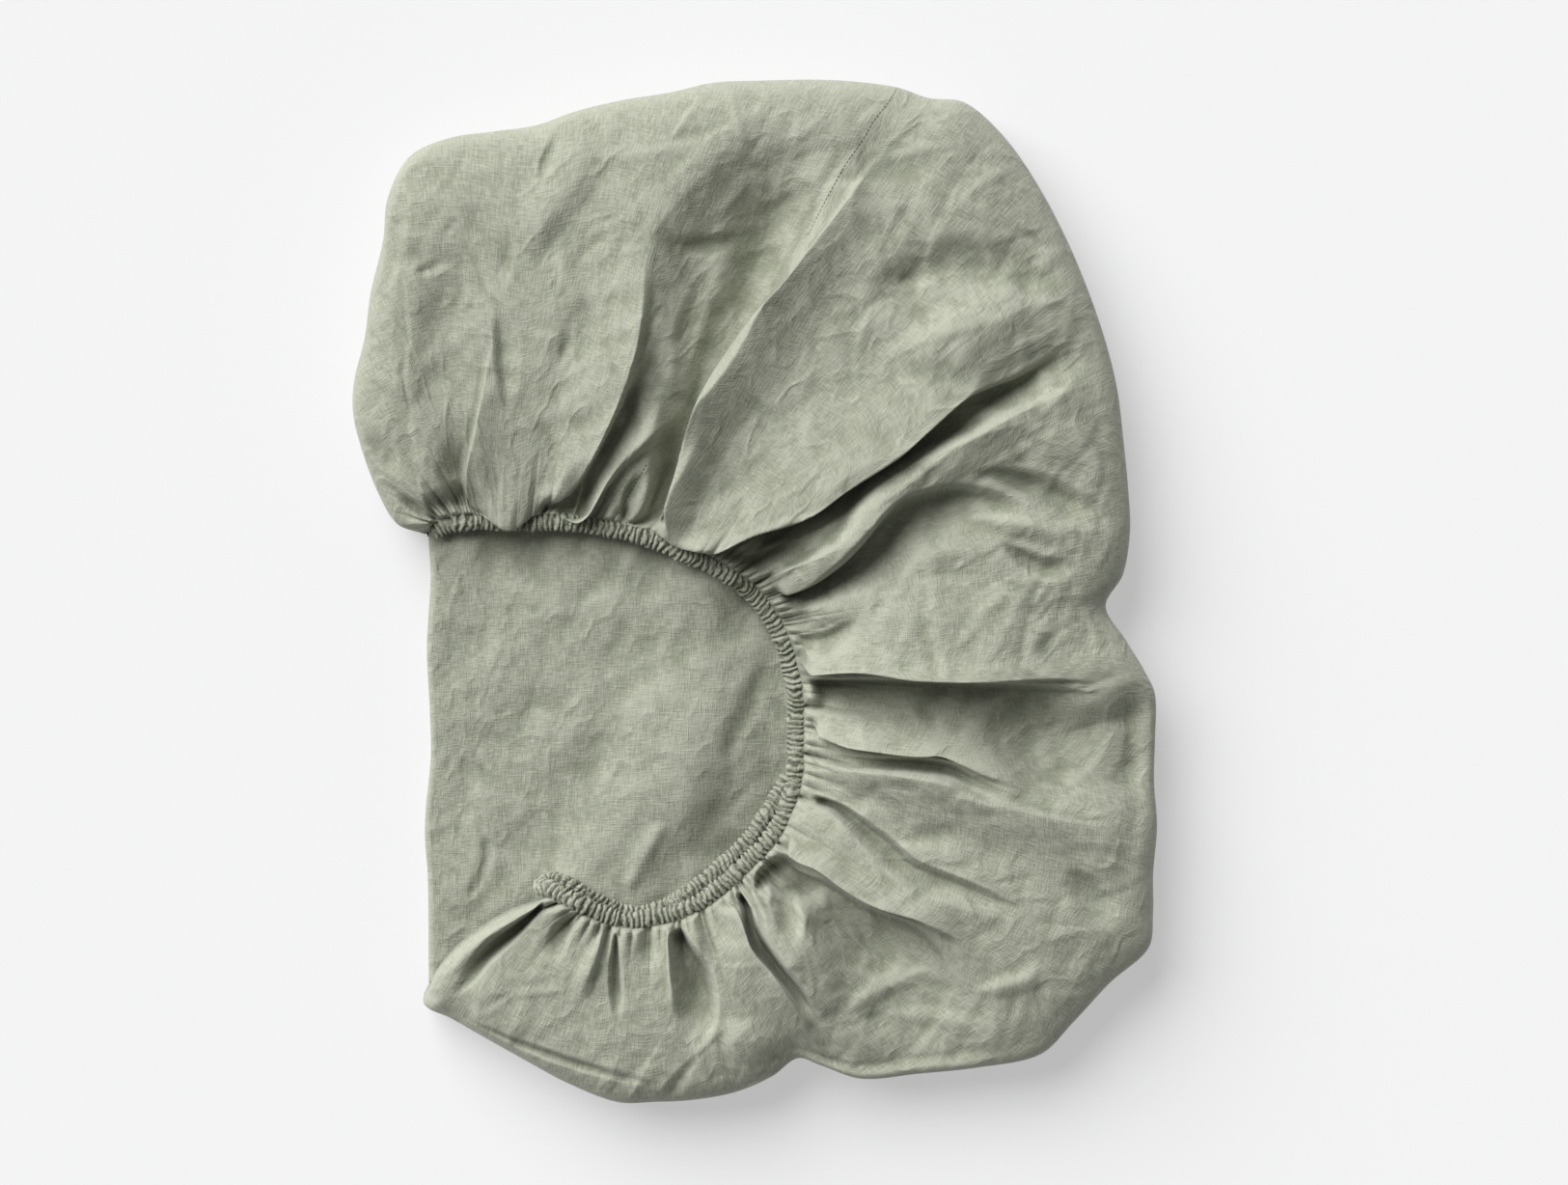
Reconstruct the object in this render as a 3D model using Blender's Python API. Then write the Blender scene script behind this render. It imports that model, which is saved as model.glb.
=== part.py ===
"""A crumpled linen fitted sheet, folded into a bundle and lying on a table.

The cloth is one thin sheet. It starts at the elasticated hem, swells out over the gathered skirt,
turns under at the rim, lies flat on the table as the underside, and then runs back and forth from
the left edge in a packet of folded layers. The last layer is the one seen inside the curve of the
hem. The elastic in its ruched channel is a second solid, which doubles back on itself at one end.

Plan coordinates count steps of half a millimetre, to the right and down, from the top left corner
of a plan of the bundle. Heights are in millimetres. Blender's own units are metres, with +Z up.
"""

from collections import namedtuple

import bpy
import numpy as np

# Driving dimensions, in metres.
PLAN_STEP = 0.0005
MM = 0.001
CLOTH = 0.0016
LAYER_PITCH = 0.005
LAYERS = 5
HEM_HALF_WIDTH = 0.0042
HEM_HALF_HEIGHT = 0.0026
RUCHE_PITCH = 0.0040
RUCHE_DEPTH = 0.08
GAP = 0.0009
TUCK = 0.010

# The plan's centre, in plan steps, lies over the part's origin.
PLAN_CENTRE = (782.1, 613.2)

# How the sheet is divided before it is thinned out.
COLUMNS = 220
SKIRT_ROWS = 46
TURN_ROWS = 8
UNDER_ROWS = 6
LAYER_ROWS = 16
FOLD_ROWS = 4
KEPT_SHARE = 0.066

# One row for each section across the skirt, clockwise from the left end of the hem. The hem and
# the rim are in plan steps. The lift of the hem off the packet and the crown are in millimetres.
Section = namedtuple("Section", "hem_x hem_y lift rim_x rim_y crown")
SECTIONS = [
    Section(451, 551, 0.5, 438, 553, 32),
    Section(454, 549, 1.0, 412, 543, 37),
    Section(458, 547, 1.5, 393, 512, 40),
    Section(463, 545, 2.0, 377, 470, 43),
    Section(468, 544, 2.5, 367, 430, 45),
    Section(473, 543, 3.0, 368, 395, 46),
    Section(479, 542, 3.0, 379, 350, 47),
    Section(485, 542, 3.0, 385, 305, 48),
    Section(491, 541, 3.0, 398, 250, 48),
    Section(497, 541, 3.5, 403, 205, 48),
    Section(503, 541, 3.5, 425, 163, 47),
    Section(509, 541, 3.5, 465, 144, 47),
    Section(517, 541, 4.0, 512, 137, 48),
    Section(527, 541, 4.0, 555, 131, 49),
    Section(539, 541, 4.0, 595, 117, 50),
    Section(553, 541, 4.0, 645, 105, 51),
    Section(567, 541, 4.0, 695, 97, 52),
    Section(581, 541, 4.0, 740, 87, 53),
    Section(598, 543, 4.0, 790, 85, 54),
    Section(615, 545, 4.0, 840, 84, 54),
    Section(632, 548, 4.0, 885, 86, 54),
    Section(650, 551, 4.0, 929, 92, 54),
    Section(672, 558, 4.0, 962, 103, 54),
    Section(694, 567, 4.0, 1000, 108, 54),
    Section(712, 574, 4.0, 1040, 143, 54),
    Section(727, 581, 4.0, 1075, 193, 54),
    Section(741, 588, 4.0, 1105, 250, 54),
    Section(754, 596, 4.0, 1128, 305, 54),
    Section(765, 603, 3.5, 1145, 355, 54),
    Section(775, 611, 3.0, 1157, 405, 55),
    Section(784, 620, 3.0, 1163, 455, 55),
    Section(792, 630, 3.0, 1168, 505, 55),
    Section(799, 640, 2.5, 1170, 550, 55),
    Section(805, 651, 2.0, 1163, 595, 54),
    Section(810, 662, 2.0, 1145, 628, 52),
    Section(815, 675, 1.5, 1165, 662, 52),
    Section(819, 690, 1.0, 1184, 693, 54),
    Section(823, 708, 1.0, 1196, 720, 55),
    Section(825, 730, 1.0, 1196, 765, 55),
    Section(825, 752, 1.5, 1195, 810, 54),
    Section(825, 775, 3.0, 1198, 855, 54),
    Section(825, 795, 5.5, 1194, 905, 54),
    Section(822, 815, 8.0, 1194, 945, 53),
    Section(817, 832, 8.0, 1189, 982, 53),
    Section(811, 848, 8.0, 1150, 1017, 52),
    Section(802, 863, 8.0, 1112, 1058, 51),
    Section(791, 877, 8.0, 1077, 1092, 50),
    Section(779, 889, 8.0, 1015, 1105, 50),
    Section(768, 900, 8.0, 950, 1112, 49),
    Section(758, 909, 8.0, 893, 1117, 48),
    Section(750, 916, 8.0, 850, 1103, 46),
    Section(742, 922, 8.0, 827, 1096, 44),
    Section(731, 930, 8.0, 800, 1115, 45),
    Section(716, 938, 8.0, 762, 1131, 46),
    Section(698, 945, 8.0, 718, 1139, 46),
    Section(678, 949, 8.0, 680, 1141, 46),
    Section(655, 951, 8.0, 640, 1141, 46),
    Section(634, 947, 8.0, 590, 1122, 46),
    Section(618, 941, 8.0, 545, 1098, 45),
    Section(605, 935, 8.0, 500, 1073, 44),
    Section(593, 929, 8.0, 466, 1054, 42),
    Section(584, 925, 8.0, 446, 1046, 42),
    Section(579, 922, 8.0, 438, 1040, 41),
    Section(577, 921, 8.0, 437, 1033, 39),
]

# The hem turns under itself past its last section and runs back below, in plan steps and lift.
HEM_RETURN = [
    (572, 919, 7.8),
    (566, 918, 6.4),
    (563, 916, 4.3),
    (566, 914, 2.2),
    (572, 912, 0.8),
    (582, 912, 0.5),
    (598, 919, 0.5),
    (618, 932, 0.5),
    (645, 944, 0.5),
    (676, 944, 0.5),
    (704, 932, 0.5),
    (728, 915, 0.5),
    (752, 895, 0.5),
    (774, 873, 0.5),
    (793, 848, 0.5),
    (806, 826, 0.5),
    (818, 806, 0.3),
]

# One row for each main fold, from the hem outwards. The height is in millimetres, and a trough's
# is negative. The widths on the two sides and the lean towards the right are in plan steps.
Fold = namedtuple("Fold", "name height left right lean sharp path")
FOLDS = [
    Fold("left soft ridge", 3.5, 44, 30, 0, 0.1, [
        (540, 300), (551, 268), (568, 229), (596, 187), (633, 131), (655, 104),
    ]),
    Fold("left hollow", -3, 44, 50, 0, 0, [(470, 490), (462, 430), (470, 340), (492, 250), (512, 180)]),
    Fold("bulge crease", -3.5, 12, 18, 0, 0, [(418, 498), (405, 480), (390, 458), (384, 440)]),
    Fold("flap edge", 6, 10, 40, -2.5, 0.6, [
        (497, 522), (491, 500), (492, 478), (500, 450), (507, 415), (511, 385), (517, 340),
    ]),
    Fold("flap hollow", -5, 9, 16, 0, 0, [(531, 435), (529, 415), (526, 385), (522, 340), (520, 310)]),
    Fold("pocket left of the flap", -6, 26, 8, 0, 0, [(482, 524), (480, 505), (478, 480), (484, 450)]),
    Fold("middle crease", -3, 10, 12, 0, 0, [(603, 405), (605, 375), (610, 340), (614, 305)]),
    Fold("long ridge", 14, 80, 15, 7, 0.5, [
        (566, 520), (590, 494), (612, 464), (628, 434), (643, 398), (656, 358), (664, 318),
        (669, 280), (682, 243), (706, 200), (748, 152), (802, 108),
    ]),
    Fold("pocket by long ridge", -13, 12, 30, 0, 0, [
        (600, 522), (612, 490), (632, 452), (654, 415), (676, 380), (690, 340),
    ]),
    Fold("hollow by long ridge", -9, 30, 90, 0, 0, [
        (690, 350), (700, 300), (716, 250), (750, 205), (800, 160), (850, 125),
    ]),
    Fold("second hollow", -7, 22, 30, 0, 0, [
        (768, 350), (775, 290), (786, 250), (801, 215), (822, 183), (858, 143),
    ]),
    Fold("seam fold", 8, 24, 18, 3, 0.3, [
        (594, 530), (608, 518), (625, 495), (642, 474), (668, 454), (700, 430), (722, 412),
    ]),
    Fold("seam lobe", 5, 12, 16, 1, 0.2, [(650, 534), (668, 515), (680, 497), (692, 478)]),
    Fold("seam groove", -5, 8, 8, 0, 0, [(646, 536), (652, 515), (661, 500), (672, 484)]),
    Fold("deep valley", -16, 14, 16, 0, 0, [
        (682, 535), (690, 512), (700, 480), (707, 455), (720, 430), (745, 395), (772, 352),
        (800, 300), (825, 250), (850, 200), (880, 150),
    ]),
    Fold("bright ridge", 12, 14, 56, -7, 0.5, [
        (700, 548), (708, 515), (718, 480), (728, 445), (742, 412), (762, 380), (790, 342),
        (822, 306), (856, 256), (880, 218), (905, 178), (940, 135),
    ]),
    Fold("right of bright ridge", -5, 26, 36, 0, 0, [
        (780, 400), (800, 372), (826, 336), (856, 290), (892, 220),
    ]),
    Fold("split valley", -6, 8, 10, 0, 0, [(688, 537), (698, 515), (712, 488), (724, 460), (733, 436)]),
    Fold("wide lip", 12, 90, 13, 8, 0.4, [
        (700, 566), (735, 560), (775, 543), (830, 525), (870, 497), (920, 465), (950, 440),
        (1000, 403), (1050, 385), (1100, 357), (1130, 345),
    ]),
    Fold("dark valley", -17, 12, 34, 0, 0, [
        (742, 576), (785, 556), (836, 532), (880, 503), (926, 474), (958, 450), (1005, 418),
        (1055, 396), (1104, 372), (1142, 360),
    ]),
    Fold("valley mouth", -6, 34, 30, 0, 0, [(980, 430), (1040, 402), (1090, 380), (1135, 372)]),
    Fold("fold below the valley", 10, 16, 50, 0, 0.3, [
        (795, 600), (840, 580), (875, 553), (905, 510), (950, 480), (1000, 460), (1060, 428),
        (1130, 398), (1155, 392),
    ]),
    Fold("short lip", 8, 26, 12, 5, 0.4, [
        (803, 612), (838, 598), (866, 578), (884, 560), (902, 540), (918, 526), (950, 503),
    ]),
    Fold("hollow below short lip", -10, 12, 60, 0, 0, [
        (806, 624), (838, 606), (868, 588), (892, 572), (925, 555), (970, 552), (1020, 560),
        (1075, 575), (1120, 580),
    ]),
    Fold("side crease", -5, 14, 20, 0, 0, [(1040, 500), (1080, 515), (1110, 527), (1156, 538)]),
    Fold("side fold", 4, 16, 16, 0, 0.1, [(1000, 535), (1060, 545), (1115, 560)]),
    Fold("lower side crease", -5, 12, 16, 0, 0, [(1032, 560), (1052, 575), (1080, 588), (1120, 586)]),
    Fold("top soft hollow", -5, 30, 34, 0, 0, [(900, 205), (912, 170), (935, 130)]),
    Fold("soft hollow", -4, 30, 30, 0, 0, [(940, 318), (975, 296), (1005, 248)]),
    Fold("soft ridge", 4, 30, 30, 0, 0, [(940, 345), (1000, 322), (1060, 314), (1125, 326)]),
    Fold("rim hollow", -5, 16, 24, 0, 0, [(1015, 250), (1045, 270), (1090, 280), (1108, 308)]),
    Fold("notch ridge", 9, 30, 26, 0, 0.1, [
        (815, 642), (835, 630), (860, 620), (910, 618), (1000, 625), (1080, 624), (1140, 624),
    ]),
    Fold("small pinch", -8, 8, 14, 0, 0, [(815, 655), (835, 662), (860, 658), (890, 640)]),
    Fold("level lip", 11, 26, 11, 6, 0.4, [
        (828, 684), (850, 684), (880, 682), (908, 684), (945, 690), (1000, 692), (1080, 696),
        (1150, 706),
    ]),
    Fold("level hollow", -13, 10, 60, 0, 0, [
        (838, 706), (880, 706), (925, 708), (1000, 712), (1080, 716), (1150, 722),
    ]),
    Fold("pinched fold", 10, 30, 11, 6, 0.4, [
        (840, 748), (880, 762), (910, 766), (945, 770), (975, 771), (1000, 784), (1030, 802),
        (1065, 816),
    ]),
    Fold("pinched slit", -12, 9, 16, 0, 0, [
        (862, 782), (910, 788), (950, 790), (985, 797), (1010, 812), (1040, 824), (1070, 834),
    ]),
    Fold("side ridge", 8, 10, 50, 0, 0.3, [
        (840, 785), (880, 796), (950, 802), (1000, 812), (1060, 838), (1110, 850), (1170, 856),
    ]),
    Fold("strap valley", -11, 10, 22, 0, 0, [
        (842, 824), (872, 836), (898, 856), (920, 874), (945, 896), (980, 910), (1030, 930),
        (1070, 946),
    ]),
    Fold("lower side hollow", -4, 20, 30, 0, 0, [(1100, 895), (1130, 925), (1155, 950)]),
    Fold("strap", 12, 18, 12, 7, 0.4, [
        (818, 868), (835, 880), (855, 888), (884, 908), (905, 920), (926, 928), (950, 938),
        (968, 950), (990, 966), (1006, 990),
    ]),
    Fold("under the strap", -12, 10, 60, 0, 0, [
        (808, 896), (832, 908), (855, 916), (885, 936), (912, 950), (940, 960), (958, 972),
        (975, 992), (980, 1020),
    ]),
    Fold("corner ridge", 5, 20, 16, 0, 0.2, [(868, 1052), (890, 1035), (930, 1010), (975, 1000)]),
    Fold("low corner ridge", 4, 14, 16, 0, 0.2, [(905, 1045), (960, 1050), (1045, 1066)]),
    Fold("outer corner ridge", 4, 16, 16, 0, 0.2, [(1000, 1025), (1060, 1010), (1095, 988)]),
    Fold("hollow right of the slit", -8, 14, 20, 0, 0, [
        (800, 905), (812, 925), (820, 950), (826, 975),
    ]),
    Fold("slit", -17, 8, 10, 0, 0, [
        (764, 922), (775, 940), (780, 960), (788, 977), (805, 1000), (830, 1030), (853, 1062),
    ]),
    Fold("right of the slit", 8, 12, 26, -3, 0.3, [
        (778, 918), (790, 945), (800, 972), (820, 1000), (845, 1030), (868, 1060),
    ]),
    Fold("left of the slit", 8, 34, 10, 3, 0.3, [
        (752, 930), (762, 956), (772, 984), (795, 1012), (822, 1042), (845, 1072),
    ]),
    Fold("bottom hollow", -12, 16, 26, 0, 0, [
        (702, 958), (712, 982), (724, 1008), (729, 1040), (726, 1085),
    ]),
    Fold("bottom ridge", 6, 24, 10, 1.5, 0.3, [(694, 958), (698, 990), (700, 1020), (698, 1055)]),
    Fold("bottom crease", -8, 7, 9, 0, 0, [(640, 962), (640, 1000), (641, 1030), (643, 1058)]),
    Fold("bottom lobe ridge", 5, 12, 16, 0, 0.2, [(628, 955), (622, 980), (610, 1010), (596, 1040)]),
    Fold("small pocket", -6, 10, 16, 0, 0, [(600, 940), (590, 955), (582, 975), (576, 1000)]),
    Fold("corner valley", -10, 9, 13, 0, 0, [
        (566, 932), (548, 952), (522, 974), (505, 990), (490, 1010), (470, 1032),
    ]),
    Fold("corner fold", 6, 14, 14, -2, 0.3, [
        (572, 922), (550, 936), (522, 952), (500, 966), (478, 990), (462, 1016),
    ]),
    Fold("bottom bulge", 5, 30, 30, 0, 0, [(750, 1050), (775, 1075), (800, 1100)]),
]

# The skirt's last lobe bulges over the packet: by how much, and over how long a run of its rim and
# hem, in plan steps.
END_BOW = 22
END_BOW_RUN = 190

# The gathers along the hem: their height in millimetres, how far they run and how far apart they
# are in plan steps.
GATHER_HEIGHT = 1.9
GATHER_RUN = 34
GATHER_PITCH = 19.0

# The folds of the packet's top layer, read the same way.
PACKET_FOLDS = [
    Fold("packet crease", 2.5, 20, 9, 0, 0.6, [(650, 925), (668, 890), (692, 848)]),
    Fold("left crease", -1.5, 10, 10, 0, 0, [(486, 930), (503, 895), (504, 862)]),
    Fold("right crease", -2.0, 14, 18, 0, 0, [(748, 790), (772, 735), (802, 680)]),
]

# The packet's outline in plan steps: its left edge from top to bottom, its right edge, and how it
# spreads between the two.
PACKET_LEFT = 450
PACKET_EDGE = [
    (567, 450), (600, 452), (674, 448), (736, 451), (786, 452),
    (837, 447), (870, 446), (910, 449), (1018, 450),
]
PACKET_RIGHT = 1056
PACKET_TOP = [(450, 567), (470, 500), (520, 400), (620, 315), (800, 262), (1056, 330)]
PACKET_BOTTOM = [(450, 1018), (480, 1026), (560, 1052), (720, 1078), (900, 1066), (1056, 1010)]
PACKET_EDGE_STEPS = (0.0, 3.0, -1.0)


def smooth(value):
    """A soft step from 0 to 1."""
    value = np.clip(value, 0.0, 1.0)
    return value * value * (3 - 2 * value)


def through(knots, values, wanted):
    """A smooth curve through the values at the knots, read at the wanted places."""
    knots, values = np.asarray(knots, float), np.asarray(values, float)
    before, after = np.roll(values, 1, 0), np.roll(values, -1, 0)
    before[0], after[-1] = values[0], values[-1]
    span = np.append(knots[1:], knots[-1]) - np.append(knots[0], knots[:-1])
    slopes = (after - before) / span[:, None]
    wanted = np.clip(wanted, knots[0], knots[-1])
    at = np.clip(np.searchsorted(knots, wanted, "right") - 1, 0, len(knots) - 2)
    gap = (knots[at + 1] - knots[at])[:, None]
    share = (wanted - knots[at])[:, None] / gap
    cube, square = share**3, share**2
    return (
        (2 * cube - 3 * square + 1) * values[at]
        + (cube - 2 * square + share) * gap * slopes[at]
        + (3 * square - 2 * cube) * values[at + 1]
        + (cube - square) * gap * slopes[at + 1]
    )


def along(points):
    """The distance covered at each point of a line."""
    steps = np.linalg.norm(np.diff(points, axis=0), axis=1)
    return np.append(0.0, np.cumsum(steps))


def evenly(points, count):
    """A smooth line through the points, as count points evenly spaced."""
    points = np.asarray(points, float)
    dense = through(along(points), points, np.linspace(0, along(points)[-1], 40 * len(points)))
    covered = along(dense)
    wanted = np.linspace(0, covered[-1], count)
    return np.stack([np.interp(wanted, covered, column) for column in dense.T], axis=1)


def to_metres(plan_x, plan_y, height):
    """Points in metres from plan steps and a height in millimetres."""
    x = (plan_x - PLAN_CENTRE[0]) * PLAN_STEP
    y = (PLAN_CENTRE[1] - plan_y) * PLAN_STEP
    return np.stack(np.broadcast_arrays(x, y, height * MM), axis=-1)


def fold_shift(folds, plan_x, plan_y):
    """How far the folds push each place of the plan: right, down, and up in millimetres.

    A fold is narrow where it leaves the hem, opens outwards and dies out softly at its far end.
    """
    shift = np.zeros(plan_x.shape + (3,))
    hem_line = np.array(SECTIONS, float)[:, 0:2]
    for fold in folds:
        line = evenly(fold.path, 8 * len(fold.path))
        steps = np.diff(line, axis=0)
        best = np.full(plan_x.shape, 1e9)
        side, place = np.zeros(plan_x.shape), np.zeros(plan_x.shape)
        normal = np.zeros(plan_x.shape + (2,))
        for index, (start, step) in enumerate(zip(line[:-1], steps)):
            length = np.hypot(*step)
            ahead = np.array(step) / length
            right = np.array([-ahead[1], ahead[0]])
            from_start = np.stack([plan_x - start[0], plan_y - start[1]], axis=-1)
            run = np.clip(from_start @ ahead, 0, length)
            away = np.hypot(*np.moveaxis(from_start - run[..., None] * ahead, -1, 0))
            nearer = away < best
            best = np.where(nearer, away, best)
            side = np.where(nearer, from_start @ right, side)
            place = np.where(nearer, (index + run / length) / len(steps), place)
            normal[nearer] = right
        spread = (0.35 + 0.65 * smooth(place / 0.45)) * (0.55 + 0.45 * smooth((1 - place) / 0.3))
        reach = np.clip(best / (np.where(side < 0, fold.left, fold.right) * spread), 0, 1)
        round_top = (1 - reach**2) ** 2
        crest = (1 - fold.sharp) * round_top + fold.sharp * (1 - reach) ** 2
        from_hem = np.hypot(*(hem_line - fold.path[0]).T).min()
        ends = smooth(place / (0.1 if from_hem < 30 else 0.4)) * smooth((1 - place) / 0.5)
        shift[..., :2] += (crest * ends * fold.lean)[..., None] * normal
        shift[..., 2] += crest * ends * fold.height
    return shift


def packet_height(plan_x, plan_y, layer):
    """The height in millimetres of a layer of the packet, counted from the underside."""
    wave = (
        0.7 * np.sin(plan_x / 38 + plan_y / 61)
        + 0.6 * np.sin(plan_x / 57 - plan_y / 33 + 1.0)
        + 0.4 * np.sin(plan_x / 21 + plan_y / 27 + 2.0)
    )
    flat_edge = smooth((plan_x - PACKET_LEFT) / 60)
    level = (CLOTH / 2 + layer * LAYER_PITCH) / MM
    return level + wave * flat_edge * layer / LAYERS


def packet_top(plan_x, plan_y):
    return packet_height(plan_x, plan_y, LAYERS) + fold_shift(PACKET_FOLDS, plan_x, plan_y)[..., 2]


def sections(count):
    """Hem, lift, rim, crown and bow at evenly spaced columns around the skirt."""
    rows = np.array(SECTIONS, float)
    knots = along(rows[:, 3:5]) + 0.6 * along(rows[:, 0:2])
    wanted = np.linspace(0, knots[-1], count)
    bow = END_BOW * smooth(1 - (knots[-1] - wanted) / END_BOW_RUN)
    return np.column_stack([through(knots, rows, wanted), bow])


def gather_wave(run):
    """An uneven row of gathers, from -1 to 1, by the distance along the hem."""
    phase = 2 * np.pi * run / GATHER_PITCH + 1.5 * np.sin(run / 47) + 1.1 * np.sin(run / 21 + 1)
    return np.sin(phase) * (0.65 + 0.35 * np.sin(run / 33 + 2))


def hem_height(plan, lift):
    """The height of the hem's middle, in millimetres, where it lies on the packet or is lifted off it."""
    on_packet = packet_top(plan[:, 0], plan[:, 1])
    return on_packet + (CLOTH / 2 + GAP + HEM_HALF_HEIGHT * (1 + RUCHE_DEPTH)) / MM + lift


def skirt(columns):
    """The skirt from the hem over its crown to the rim, as rows of points in metres."""
    hem, lift, rim = columns[:, 0:2], columns[:, 2], columns[:, 3:5]
    crown, bow = columns[:, 5], columns[:, 6]
    heading = np.gradient(hem, axis=0)
    heading /= np.linalg.norm(heading, axis=1)[:, None]
    outward = np.stack([heading[:, 1], -heading[:, 0]], axis=1)
    clear = (HEM_HALF_WIDTH * (1 + RUCHE_DEPTH) + GAP + CLOTH / 2) / PLAN_STEP
    start = hem + outward * clear
    start_height = hem_height(hem, lift)
    rim_height = 0.5 * crown
    share = np.linspace(0, 1, SKIRT_ROWS)[:, None]
    plan_x = start[:, 0] + (rim[:, 0] - start[:, 0]) * share
    plan_y = start[:, 1] + (rim[:, 1] - start[:, 1]) * share
    peak = 0.42
    rise = start_height + (crown - start_height) * (1 - (1 - np.clip(share / peak, 0, 1)) ** 2.2)
    past = np.clip((share - peak) / (1 - peak), 0, 1)
    fall = rim_height + (crown - rim_height) * (1 - past**2.4) ** (1 / 2.2)
    height = np.where(share < peak, rise, fall)
    span = np.linalg.norm(rim - start, axis=1)
    from_hem = share * span
    ahead = (rim - start) / span[:, None]
    bulge = bow * 4 * share * (1 - share)
    plan_x, plan_y = plan_x - bulge * ahead[:, 1], plan_y + bulge * ahead[:, 0]
    hold = smooth(from_hem / 36) * smooth((1 - share) / 0.06 + 0.15)
    shift = fold_shift(FOLDS, plan_x, plan_y) * hold[..., None]
    plan_x, plan_y = plan_x + shift[..., 0], plan_y + shift[..., 1]
    over_packet = packet_top(plan_x, plan_y) + (CLOTH + 2 * GAP) / MM
    floor = np.where(height < over_packet, height, over_packet)
    gathers = gather_wave(along(start)) * GATHER_HEIGHT * smooth(from_hem / 9)
    gathers = gathers * np.exp(-((from_hem / GATHER_RUN) ** 1.5))
    height = floor + np.logaddexp(0, (height + shift[..., 2] - floor) * 0.9) / 0.9 + gathers
    height = np.where(from_hem < 6, start_height, height)
    return plan_x, plan_y, height


def turned_under(columns, plan_x, plan_y, height):
    """The rim's turn, from the last row of the skirt down to the underside."""
    start = columns[:, 0:2]
    rim = np.stack([plan_x[-1], plan_y[-1]], axis=1)
    span = np.linalg.norm(rim - start, axis=1)
    inward = (start - rim) / span[:, None]
    tuck = np.minimum(TUCK / PLAN_STEP, 0.35 * span)[:, None]
    angle = np.linspace(0, np.pi / 2, TURN_ROWS + 1)[1:, None]
    run = (1 - np.cos(angle)) * tuck[:, 0]
    base = CLOTH / 2 / MM
    return (
        rim[:, 0] + run * inward[:, 0],
        rim[:, 1] + run * inward[:, 1],
        base + (height[-1] - base) * (1 - np.sin(angle)),
    )


def packet_rows(plan_x, plan_y):
    """The underside and the packet's layers, back and forth, as rows of plan x, plan y and height."""
    share = np.linspace(0, 1, plan_x.shape[1])
    edge_y = PACKET_TOP[0][1] + share * (PACKET_BOTTOM[0][1] - PACKET_TOP[0][1])
    edge = np.array(PACKET_EDGE, float)
    edge_x = through(edge[:, 0], edge[:, 1:], edge_y)[:, 0]
    left = np.stack([edge_x, edge_y])
    rows = []
    for run in np.linspace(0, 1, UNDER_ROWS + 1)[1:]:
        x = plan_x[-1] + (left[0] - plan_x[-1]) * run
        y = plan_y[-1] + (left[1] - plan_y[-1]) * run
        rows.append((x, y, CLOTH / 2 / MM + 0 * share))
    top, bottom = np.array(PACKET_TOP, float), np.array(PACKET_BOTTOM, float)
    radius = LAYER_PITCH / 2

    def place(run, layer_height):
        across = PACKET_LEFT + run * (PACKET_RIGHT - PACKET_LEFT)
        y_top = np.interp(across, top[:, 0], top[:, 1])
        y_bottom = np.interp(across, bottom[:, 0], bottom[:, 1])
        y = y_top + share * (y_bottom - y_top)
        x = across + (edge_x - PACKET_LEFT) * (1 - run)
        return x, y, layer_height(x, y)

    for layer in range(1, LAYERS + 1):
        from_left = layer % 2 == 1
        edge = 0.0 if from_left else 1.0
        x, y, low = place(edge, lambda x, y: packet_height(x, y, layer - 1))
        high = packet_height(x, y, layer)
        reach = -1 if from_left else 1
        step = PACKET_EDGE_STEPS[layer // 2] if from_left else 0
        for angle in np.linspace(0, np.pi, FOLD_ROWS + 2)[1:-1]:
            bulge = (radius / PLAN_STEP - step * 0.5) * np.sin(angle)
            rows.append((x + reach * bulge, y, low + (high - low) * (1 - np.cos(angle)) / 2))
        runs = np.linspace(edge, 1 - edge, LAYER_ROWS)
        last = layer == LAYERS
        for run in runs:
            rows.append(place(run, packet_top if last else lambda x, y: packet_height(x, y, layer)))
    return rows


def add_material(thing, name, colour, roughness):
    material = bpy.data.materials.new(name)
    material.use_nodes = True
    shader = material.node_tree.nodes["Principled BSDF"]
    shader.inputs["Base Color"].default_value = (*colour, 1)
    shader.inputs["Roughness"].default_value = roughness
    shader.inputs["Metallic"].default_value = 0
    thing.data.materials.append(material)


def add_mesh(name, points, faces):
    mesh = bpy.data.meshes.new(name)
    mesh.from_pydata(points.tolist(), [], faces)
    mesh.validate()
    mesh.shade_smooth()
    thing = bpy.data.objects.new(name, mesh)
    bpy.context.scene.collection.objects.link(thing)
    return thing


def grid_faces(rows, columns, closed=False):
    """Faces over a grid of points stored row by row."""
    faces = []
    for row in range(rows - 1):
        for column in range(columns if closed else columns - 1):
            ahead = (column + 1) % columns
            near, far = row * columns, (row + 1) * columns
            faces.append((near + column, near + ahead, far + ahead, far + column))
    return faces


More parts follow.
